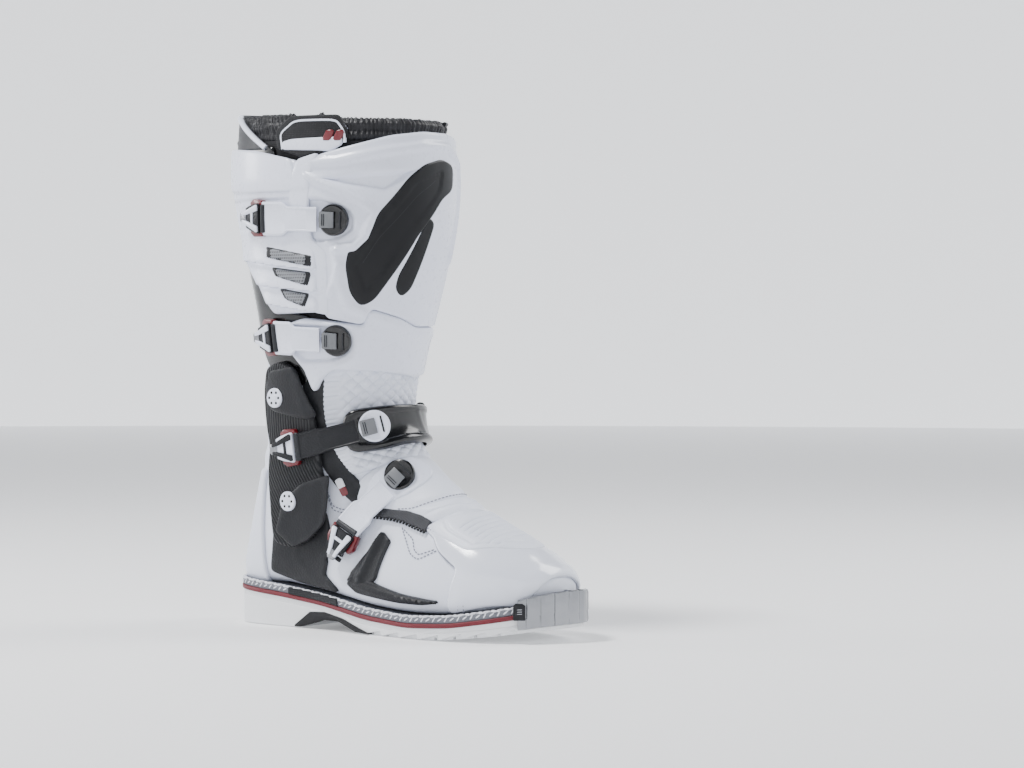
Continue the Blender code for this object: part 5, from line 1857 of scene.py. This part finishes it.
    def bay(self, flat: np.ndarray, number: int) -> np.ndarray:
        """Return how far up its bay each flat place lies, from 0 at the lower fin to 1 at the upper."""
        t = LAST.angle(flat)
        above, below = (np.interp(t, (b[1], a[1]), (b[0], a[0])) for a, b in self.fins[number : number + 2])
        return (flat[:, 1] - below) / np.maximum(above - below, 1.0)

    def louvres(self, flat: np.ndarray) -> np.ndarray:
        """Return the height of the stepped fins between the vents."""
        out = np.zeros(len(flat))
        for number in range(len(self.fins) - 1):
            share = self.bay(flat, number)
            out += np.where(
                (share >= 0) & (share < 1), self.fin_height * (1 - np.clip(share, 0, 1)) ** 1.3, 0.0,
            )
        return out

    def slope(self, number: int) -> Relief:
        """Return one bay's height without the step under it, for what lies in that bay."""
        return lambda flat: self.fin_height * (1 - np.clip(self.bay(flat, number), 0, 1)) ** 1.3

    def wing(self) -> None:
        """Build the outer wing with its collar band, stepped fins and framed vents."""
        outline = (
            (372, 144), (369, 108), (362, 84), (345, 82.5), (330, 82.5), (304, 82), (296, 74), (249, 72),
            (247, 104), (255, 110), (269, 117), (286, 131), (305, 135), (341, 145),
        )
        vents = (
            ((297, 101), (291, 77), (283, 77), (289, 101)), ((281, 99), (278, 78), (268.5, 79), (275, 97)),
            ((265, 95), (262, 79), (252.5, 81), (258, 92)),
        )
        hollows = [field_of(v, 1.5, -2.4) for v in vents]
        recess = field_of(((334, 143), (336, 84), (309, 84), (308, 136)), 2.0, -1.0)
        Panel(
            "outer_wing", outline, ARMOUR_LOW - 1.0, ARMOUR_TOP, WHITE_SHELL, self.body,
            ("shaft_wing", "vent_mesh"), corner=4.0, edge=1.3, step=2.0, finer=True,
            relief=together(self.louvres, recess, *hollows), wall=1.0,
        ).make()
        band = ((373, 146), (370, 108), (363, 86), (352, 84.5), (340, 84), (339, 110), (341, 147))
        Panel(
            "collar_wrap", band, ARMOUR_TOP - 0.6, ARMOUR_TOP + 1.6, WHITE_SHELL, self.body, corner=5.0,
            edge=1.5, step=3.0, finer=True, crown=0.5,
        ).make()
        for k, vent in enumerate(vents):
            middle = np.mean(vent, axis=0)
            rim = [tuple(middle + (np.array(v) - middle) * 1.14) for v in vent]
            Panel(
                f"vent_frame_{k + 1}", rim, ARMOUR_LOW, ARMOUR_TOP + 0.9, BLACK_PANEL, self.body, corner=1.2,
                edge=0.5, step=2.0, finer=True, relief=self.slope(k), wall=0.6,
            ).make()
            inner = [tuple(middle + (np.array(v) - middle) * 0.84) for v in vent]
            Panel(
                f"vent_screen_{k + 1}", inner, ARMOUR_LOW, ARMOUR_TOP + 1.2, GREY_SCREEN, self.body,
                corner=0.8, edge=0.3, step=2.0, finer=True, relief=self.slope(k),
            ).make()

    def inner_frame(self) -> None:
        """Build the white inner frame and the dark grip panel in it."""
        outline = (
            (375, -62), (375, -116), (372, -126), (340, -129), (262, -119), (212, -94), (209, -84),
            (210, -74), (240, -62.5), (300, -61.5),
        )
        Panel(
            "inner_frame", outline, 0.4, OVERLAY_TOP, WHITE_SHELL, self.body, ("medial_frame",), corner=6.0,
            edge=1.1, step=4.0, finer=True,
            relief=ridge([(368, -66), (368, -112), (338, -122), (262, -113), (226, -92)], 1.2, 0.4),
        ).make()
        grip = (
            (367, -70), (367, -98), (358, -104), (352, -117), (338, -119), (268, -110), (244, -94),
            (250, -78), (300, -70),
        )
        lines = [ridge([(296 - 9 * k, -72), (306 - 9 * k, -112)], 1.1, 0.9) for k in range(6)]
        Panel(
            "inner_grip", grip, OVERLAY_TOP - 0.4, OVERLAY_TOP + 1.9, BLACK_GRIP, self.body,
            ("medial_grip",), corner=4.0, edge=1.0, step=3.0, finer=True, relief=together(*lines),
        ).make()
        stitching(
            "inner_seam", [(371, -64), (371, -112), (340, -125.5), (262, -116), (216, -92)], 3.0, self.body,
            GREY_SEAM_AND_SHADOW_LINE,
        )


@dataclass
class ShinPlates:
    """The front plates, which open together round their inner edge."""

    body: str = "shin_plate"

    def make(self) -> None:
        """Build the two plates, the dark blade and the rivets."""
        self.upper()
        self.lower()
        lip = (
            (368, 72), (363, 83), (347, 87), (330, 87), (305, 86), (297, 78.5), (249, 76.5), (247, 66),
            (294, 68), (304, 77), (330, 78), (350, 76),
        )
        Panel(
            "shin_lip", lip, ARMOUR_TOP - 0.4, ARMOUR_TOP + 0.8, WHITE_SHELL, self.body, corner=3.0,
            edge=0.8, step=2.5, finer=True,
            relief=field_of([(375, 66), (370, 92), (337, 92), (340, 72)], 5.0, 0.9),
        ).make()
        for k, (s, t) in enumerate(((354, -53), (320, -53), (286, -53), (252, -54))):
            origin = LAST.lift(np.array([s]), np.array([t]), np.array([ARMOUR_TOP - 0.2]))[0]
            up = LAST.normal(np.array([s]), np.array([t]))[0]
            rivet = turned_disc(
                "rivet", ((3.2, -1.0), (3.2, 0.5), (2.6, 1.0), (1.4, 1.2), (1.0, 0.8), (0.4, 0.8)), 24,
            )
            dress(
                set_down(rivet, axes(origin, np.array([1.0, 0.0, 0.0]), up), f"hinge_rivet_{k + 1}"), STEEL,
                self.body,
            )

    def upper(self) -> None:
        """Build the upper plate with its ridges, its pocket for the buckle and its blade."""
        outline = (
            (360, 80.5), (366, 72), (371, 60), (377, 44), (382, 30), (386, 8), (386, -12), (383, -32),
            (374, -57), (340, -58), (290, -58), (240, -58), (239, 0), (246, 14), (253, 38), (240, 42),
            (245, 68), (296, 71), (301, 79), (330, 80.5),
        )
        relief = together(
            field_of([(349, 76), (355, 46), (359, 12), (338, 34), (342, 56)], 4.0, -3.6),
            field_of(
                [
                    (336, 84), (335, 70), (331, 60), (326, 53), (318, 50.5), (310, 51.5), (303, 58),
                    (300, 68), (300, 84),
                ], 2.5, -3.0,
            ),
            ridge(
                [
                    (353, 80), (348, 73), (342, 62), (332, 47), (325, 41), (315, 43.5), (306, 46), (298, 52),
                    (296, 62),
                ], 2.4, 3.2,
            ),
            ridge(
                [(361, 78), (362, 62), (370, 36), (376, 10), (376, -10), (364, -26), (330, -28), (290, -22)],
                3.0, 2.6,
            ), ridge([(296, 62), (270, 60), (253, 52), (247, 38)], 2.6, 2.4),
            ridge([(284, 60), (262, 66)], 2.0, 1.4),
        )
        Panel(
            "shin_upper", outline, ARMOUR_LOW - 2.4, ARMOUR_TOP, WHITE_SHELL, self.body,
            ("shin_plate_upper",), corner=4.0, edge=1.4, step=2.6, finer=True, relief=relief, wall=1.3,
        ).make()
        blade = (
            (366, -2), (362, -14), (344, -13), (337, -3), (309, 12), (274, 29), (259, 37), (254, 45),
            (264, 52.5), (284, 56), (298, 54), (319, 41), (350, 21), (361, 10),
        )
        Panel(
            "shin_blade_inset", blade, ARMOUR_TOP - 0.4, ARMOUR_TOP + 1.4, BLACK_BLADE, self.body,
            ("shin_blade",), corner=5.0, edge=1.1, step=3.0, finer=True,
            relief=field_of(
                [(358, -3), (343, -1), (311, 18), (275, 35), (263, 43), (284, 51), (315, 37), (348, 16)],
                1.2, -0.8,
            ),
        ).make()
        piping(
            "blade_line", [(286, 46), (306, 37), (338, 15), (350, 2)], ARMOUR_TOP + 1.1, self.body,
            GREY_SHELL, 0.9,
        )
        bar = ((322, 6), (318, 1), (268, 12), (262, 18), (268, 23), (278, 22))
        Panel(
            "shin_bar_inset", bar, ARMOUR_TOP - 0.4, ARMOUR_TOP + 1.2, BLACK_BLADE, self.body, corner=4.0,
            edge=0.9, step=3.0, finer=True,
        ).make()

    def lower(self) -> None:
        """Build the lower plate with its pocket and upper lip."""
        outline = (
            (236, -56), (236, 0), (243, 14), (250, 38), (237, 41), (240, 68), (242, 84), (237, 96),
            (218, 93), (204, 84), (185, 77), (196, 72), (203, 63), (200, 30), (194, -6), (196, -30),
            (206, -54),
        )
        relief = together(
            field_of(
                [
                    (239, 96), (240, 70), (236, 58), (229, 50), (221, 48), (213, 51), (208, 60), (208, 84),
                    (216, 96),
                ], 2.5, -2.8,
            ), ridge([(242, 66), (236, 50), (224, 44), (212, 46), (204, 58)], 2.4, 1.2),
            ridge([(231, -50), (231, 0), (238, 14), (244, 34)], 2.2, 0.7),
        )
        Panel(
            "shin_lower", outline, ARMOUR_LOW - 2.4, ARMOUR_TOP, WHITE_SHELL, self.body,
            ("shin_plate_lower",), corner=4.0, edge=1.4, step=2.6, finer=True, relief=relief, wall=1.3,
        ).make()


@dataclass
class CollarFlap:
    """The dark five-sided flap at the rim, with its light edge."""

    body: str = "collar_flap"

    def make(self) -> None:
        """Build the flap."""
        outline = (
            (373, 95), (386, 96.5), (397, 89), (398, 62), (388, 57), (379, 57.5), (371, 69), (366, 82),
        )
        Panel(
            "collar_flap_panel", outline, 0.8, 2.8, BLACK_CLOTH, self.body, ("collar_flap",), corner=1.5,
            edge=0.9, step=3.0, finer=True,
        ).make()
        piping(
            "flap_piping", [(372, 92), (384, 93.5), (394, 86.5), (394.5, 63), (386, 58.5), (377, 58)], 3.0,
            self.body, WHITE_SHELL, 2.8, rise=1.8,
        )
        stitching(
            "flap_seam", [(374, 94.8), (386, 95.6), (396, 88.2), (396.6, 61.6), (388, 56.4)], 3.0, self.body,
            GREY_SEAM_AND_SHADOW_LINE, 2.2, 1.5, 0.6,
        )
        Panel(
            "flap_stripe", ((379, 88), (377, 92), (372, 91.5), (371, 66), (376, 60), (381, 59.5)), 2.4, 3.3,
            WHITE_SHELL, self.body, corner=1.0, edge=0.4, step=4.0,
        ).make()
        for k, t in enumerate((68.0, 62.0)):
            Panel(
                f"flap_bar_{k + 1}", ((386, t), (386, t - 3.6), (379, t - 1.6), (379, t + 2.4)), 3.0, 3.9,
                RED_SHELL, self.body, corner=0.6, edge=0.3, step=4.0,
            ).make()


class Look(Enum):
    """The two colourings of a buckle."""

    WHITE = "white strap, dark lever"
    DARK = "dark strap, white lever"


@dataclass
class Buckle:
    """A strap with its receiver, lock, lever and catch."""

    name: str
    receiver: Place
    pin: Place
    heights: Place
    near: str
    far: str
    look: Look = Look.WHITE
    width: float = 19.0
    shoulder: float = 26.0

    def joint(self, part: str) -> tuple[np.ndarray, np.ndarray]:
        """Return the place and axis of one of the buckle's joints."""
        found = next(j for j in frame["joints"] if j["name"] == f"{self.name}_{part}_hinge")
        return np.array(found["pos_m"]) / MM, np.array(found["axis"])

    def frame_at(self, part: str) -> np.ndarray:
        """Return a part's own frame: X along the part and Z outward."""
        origin, axis = self.joint(part)
        points = node_points(f"{self.name}_{part}")
        ahead = points[np.argsort(np.linalg.norm(points - origin, axis=1))[-12:]].mean(axis=0) - origin
        ahead = ahead - axis * (ahead @ axis)
        x = unit(ahead)
        return axes(origin, x, unit(np.cross(x, -axis)))

    def put(
        self, part: str, item: bpy.types.Object, matrix: np.ndarray, finish: Finish, body: str,
        nodes: Sequence[str] = (),
    ) -> None:
        """Set one of the buckle's parts down at its place, on its body.

        Args:
            part: the part's name.
            item: the part.
            matrix: its frame.
            finish: its finish.
            body: the body it rides on.
            nodes: the nodes that it replaces.
        """
        dress(set_down(item, matrix, f"{self.name}_{part}"), finish, body, nodes)

    def make(self) -> None:
        """Build the buckle."""
        white = self.look is Look.WHITE
        strap, lever = (WHITE_SHELL, BLACK_PANEL) if white else (BLACK_PANEL, WHITE_SHELL)
        self.strap(strap)
        self.lever(lever, WHITE_SHELL if white else BLACK_PANEL)
        self.disc(BLACK_GLOSS if white else WHITE_SHELL)
        self.catch()

    def strap(self, finish: Finish) -> None:
        """Build the strap: a crowned ribbon from the receiver to the lever's pin, wide at its shoulder."""
        lever = self.frame_at("lever")
        start, _ = self.joint("strap")
        pivot = lever[:3, 3]
        shares = np.linspace(0, 1, 34)
        s = self.receiver[0] + (self.pin[0] - self.receiver[0]) * shares
        t = self.receiver[1] + (self.pin[1] - self.receiver[1]) * shares
        height = self.heights[0] + (self.heights[1] - self.heights[0]) * shares
        line, up = LAST.lift(s, t, height), LAST.normal(s, t)
        line = line + (pivot - line[-1]) * shares[:, None]
        keep = np.linalg.norm(line - line[0], axis=1) > np.linalg.norm(start - line[0]) - 0.3
        line, up = line[keep], up[keep]
        line = evened(line, 1.4, closed=False)
        up = np.stack(
            [
                np.interp(np.linspace(0, 1, len(line)), np.linspace(0, 1, len(up)), up[:, c])
                for c in range(3)
            ], -1,
        )
        up = unit(up)
        side = unit(np.cross(up, np.gradient(line, axis=0)))
        k = np.linspace(0, 1, len(line))
        wide = np.clip((k - 0.50) / 0.14, 0, 1)
        wide = wide * wide * (3 - 2 * wide)
        half = (self.width + (self.shoulder - self.width) * wide) / 2
        thick = np.interp(k, (0, 0.9, 1.0), (1.2, 1.3, 1.3))
        shape = [
            (-1, -0.6), (-0.93, -1), (0, -1), (0.93, -1), (1, -0.6), (1, 0.3), (0.95, 0.85), (0.86, 1.0),
            (0.8, 0.62), (0.0, 0.72), (-0.8, 0.62), (-0.86, 1.0), (-0.95, 0.85), (-1, 0.3),
        ]
        rings = [line + side * (half * a)[:, None] + up * (thick * b)[:, None] for a, b in shape]
        points = np.stack(rings, 1).reshape(-1, 3)
        m = len(shape)
        flat = np.column_stack(
            [np.repeat(np.arange(len(line)) * 1.4, m), np.tile([a * 7 for a, _ in shape], len(line))]
        )
        item = facing_out(from_arrays(f"{self.name}_strap_band", points, ribbon_faces(len(line), m), flat))
        dress(smooth(item, 40.0), finish, f"{self.name}_strap", (f"{self.name}_strap",))

    def lever(self, body: Finish, rail: Finish) -> None:
        """Build the lever: a tapered body, the A-shaped rails, the pin barrel and the bright tip."""
        matrix = self.frame_at("lever")
        rider = f"{self.name}_lever"
        base = plate(
            "base",
            (
                (2.9, -10.9), (4.6, -11.6), (14.0, -9.8), (20.0, -7.6), (20.0, 7.6), (14.0, 9.8),
                (4.6, 11.6), (2.9, 10.9),
            ), 0.2, 3.4, 0.7,
        )
        self.put("lever_body", base, matrix, body, rider, (rider,))
        for k, side in enumerate((1, -1)):
            outline = (
                (3.4, 6.0), (3.4, 10.0), (5.0, 10.6), (20.5, 5.0), (24.0, 4.4), (24.0, 1.6), (19.0, 2.2),
            )
            self.put(
                f"lever_rail_{k + 1}", plate("rail", mirrored(side, outline), 3.0, 4.5), matrix, rail, rider,
            )
        bar = plate("bar", ((9.5, -6.4), (12.0, -6.0), (12.0, 6.0), (9.5, 6.4)), 3.0, 4.2, 0.35)
        self.put("lever_bar", bar, matrix, rail, rider)
        tip = plate(
            "tip", ((19.0, -4.8), (25.5, -4.0), (27.0, -2.6), (27.0, 2.6), (25.5, 4.0), (19.0, 4.8)), 1.2,
            3.9, 0.6,
        )
        self.put("lever_tip", tip, matrix, STEEL, rider)
        barrel = turned_disc("barrel", ((2.0, -10.8), (2.6, -10.2), (2.6, 10.2), (2.0, 10.8)), 20)
        across = frame_from(matrix[:3, 3], matrix[:3, 2], matrix[:3, 0], matrix[:3, 1])
        self.put("lever_barrel", barrel, across, GREY_SHELL, rider)

    def disc(self, finish: Finish) -> None:
        """Build the round receiver with its slot and the grey lock tip on it."""
        lock = self.frame_at("lock")
        seat = moved_frame(lock, 1.0, 0.0, -5.2)
        disc = turned_disc(
            "disc",
            (
                (11.6, -0.4), (12.2, 0.2), (12.2, 2.6), (11.7, 3.5), (10.6, 4.0), (9.8, 3.7), (3.0, 3.9),
                (0.8, 4.0),
            ), 48,
        )
        self.put("receiver_disc", disc, seat, finish, self.near, (f"{self.name}_receiver",))
        slot = plate("slot", ((-7.0, -6.4), (-5.6, -6.4), (-5.6, 6.4), (-7.0, 6.4)), 3.6, 4.5, 0.3)
        self.put(
            "receiver_slot", slot, seat, BLACK_PANEL if finish is WHITE_SHELL else GREY_SHELL, self.near,
        )
        tip = plate(
            "tip", ((-0.6, -6.0), (10.6, -6.3), (11.4, -5.4), (11.4, 5.4), (10.6, 6.3), (-0.6, 6.0)), -0.9,
            0.9, 0.4,
        )
        rider = f"{self.name}_lock"
        self.put("lock_tip", tip, lock, GREY_TIP, rider, (rider,))
        frames = [moved_frame(lock, x, 0.0, 0.8) for x in (7.2, 8.8)]
        grips = repeated(f"{rider}_grips", plate("grip", oblong(0.35, 4.6), 0.0, 0.5, 0.12), frames)
        dress(grips, GREY_SHELL, rider)

    def catch(self) -> None:
        """Build the toothed catch and its two red jaws under the lever."""
        matrix = self.frame_at("lever")
        frames = [moved_frame(matrix, x, 0.0, 0.0) for x in (7.0, 11.5, 16.0, 20.5, 25.0)]
        steps = repeated(
            f"{self.name}_catch_teeth", plate("tooth", oblong(1.6, 6.0), -3.2, -0.9, 0.5), frames,
        )
        dress(steps, BLACK_PANEL, self.far, (f"{self.name}_catch",))
        for k, side in enumerate((1, -1)):
            outline = ((0.5, 10.0), (1.5, 13.8), (12.5, 14.6), (17.0, 11.6), (16.0, 9.0), (3.0, 9.0))
            jaw = plate("jaw", mirrored(side, outline), -3.6, 1.0, 0.7)
            self.put(f"catch_jaw_{k + 1}", jaw, matrix, RED_SHELL, self.far)


@dataclass
class Studio:
    """The pale floor, the round wall, the soft lights and the camera."""

    floor_reach: float = 6000.0
    floor_level: float = -0.3
    wall_radius: float = 5500.0
    wall_height: float = 3200.0
    wall_sides: int = 64

    @staticmethod
    def stand(item: bpy.types.Object, name: str, glow: float) -> None:
        """Give a stage piece its pale, faintly lit material."""
        pale = bpy.data.materials.new(name)
        pale.use_nodes = True
        Graph(pale.node_tree).feed(
            pale.node_tree.nodes["Principled BSDF"], Base_Color=(0.90, 0.90, 0.91, 1.0), Roughness=0.7,
            Emission_Color=(0.96, 0.98, 1.0, 1.0), Emission_Strength=glow,
        )
        item.data.materials.append(pale)

    def make(self) -> None:
        """Set up the studio."""
        corners = [(*p, self.floor_level) for p in oblong(self.floor_reach, self.floor_reach)]
        self.stand(
            from_arrays("studio_floor", np.array(corners, float), [(0, 1, 2, 3)]), "studio_pale", 0.24,
        )
        n = self.wall_sides
        turns = np.linspace(0, 2 * math.pi, n, endpoint=False)
        round_plan = [(self.wall_radius * math.cos(a), self.wall_radius * math.sin(a)) for a in turns]
        points = np.array([(*p, z) for z in (self.floor_level, self.wall_height) for p in round_plan])
        self.stand(
            from_arrays("studio_wall", points, sheet_faces(2, n, False, True)), "studio_wall_pale", 0.80,
        )
        world = bpy.data.worlds.new("studio_world")
        world.use_nodes = True
        world.node_tree.nodes["Background"].inputs["Color"].default_value = (0.80, 0.87, 1.0, 1.0)
        world.node_tree.nodes["Background"].inputs["Strength"].default_value = 0.20
        bpy.context.scene.world = world
        for name, place, size, power in (
            ("key", (-0.45, -0.85, 2.1), 0.5, 58.0), ("side", (-1.7, -0.7, 0.7), 0.5, 10.0),
            ("back", (0.9, 1.3, 1.5), 0.9, 22.0),
        ):
            data = bpy.data.lights.new(name, "AREA")
            data.size, data.energy = size, power
            item = bpy.data.objects.new(name, data)
            bpy.context.scene.collection.objects.link(item)
            item.location = place
            item.rotation_euler = (Vector((0.1, 0.0, 0.2)) - Vector(place)).to_track_quat(
                "-Z", "Y",
            ).to_euler()
        self.camera()

    @staticmethod
    def camera() -> None:
        """Place the camera."""
        turn, rise, reach = math.radians(39.0), math.radians(0.5), 2.2
        back = Vector((math.sin(turn) * math.cos(rise), -math.cos(turn) * math.cos(rise), math.sin(rise)))
        data = bpy.data.cameras.new("camera")
        data.sensor_width, data.lens = 36.0, 36.0 * 2830.0 / 1024.0
        data.shift_x, data.shift_y = 0.129, -0.0137
        data.clip_start, data.clip_end = 0.05, 60.0
        item = bpy.data.objects.new("camera", data)
        bpy.context.scene.collection.objects.link(item)
        item.location = Vector((0.08, 0.0, 0.2)) + back * reach
        item.rotation_euler = (-back).to_track_quat("-Z", "Y").to_euler()
        bpy.context.scene.camera = item


BUCKLES = (
    Buckle("top", (318, 63), (319, 101), (9.2, 11.6), "shin_plate", "shaft"),
    Buckle("shin", (226, 60), (229, 101), (9.2, 11.6), "shin_plate", "shaft"),
    Buckle(
        "ankle", (146, 33), (144, 86), (14.6, 13.2), "brace", "brace", Look.DARK, width=18.0, shoulder=20.0,
    ), Buckle("instep", (84, 30), (50, 72), (5.4, 7.8), "foot", "foot", shoulder=24.0),
)


def main() -> None:
    """Build every sub-assembly of the boot and the studio."""
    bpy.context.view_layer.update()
    Studio().make()
    for assembly in (
        Sole(), FootUpper(), AnkleFabric(), AnkleBrace(), ShaftArmour(), ShinPlates(), CollarFlap(),
        *BUCKLES,
    ):
        LOG.info("building %s", type(assembly).__name__)
        assembly.make()
    deselect()


if __name__ == "__main__":
    logging.basicConfig(level=logging.INFO, format="%(name)s: %(message)s")
    main()
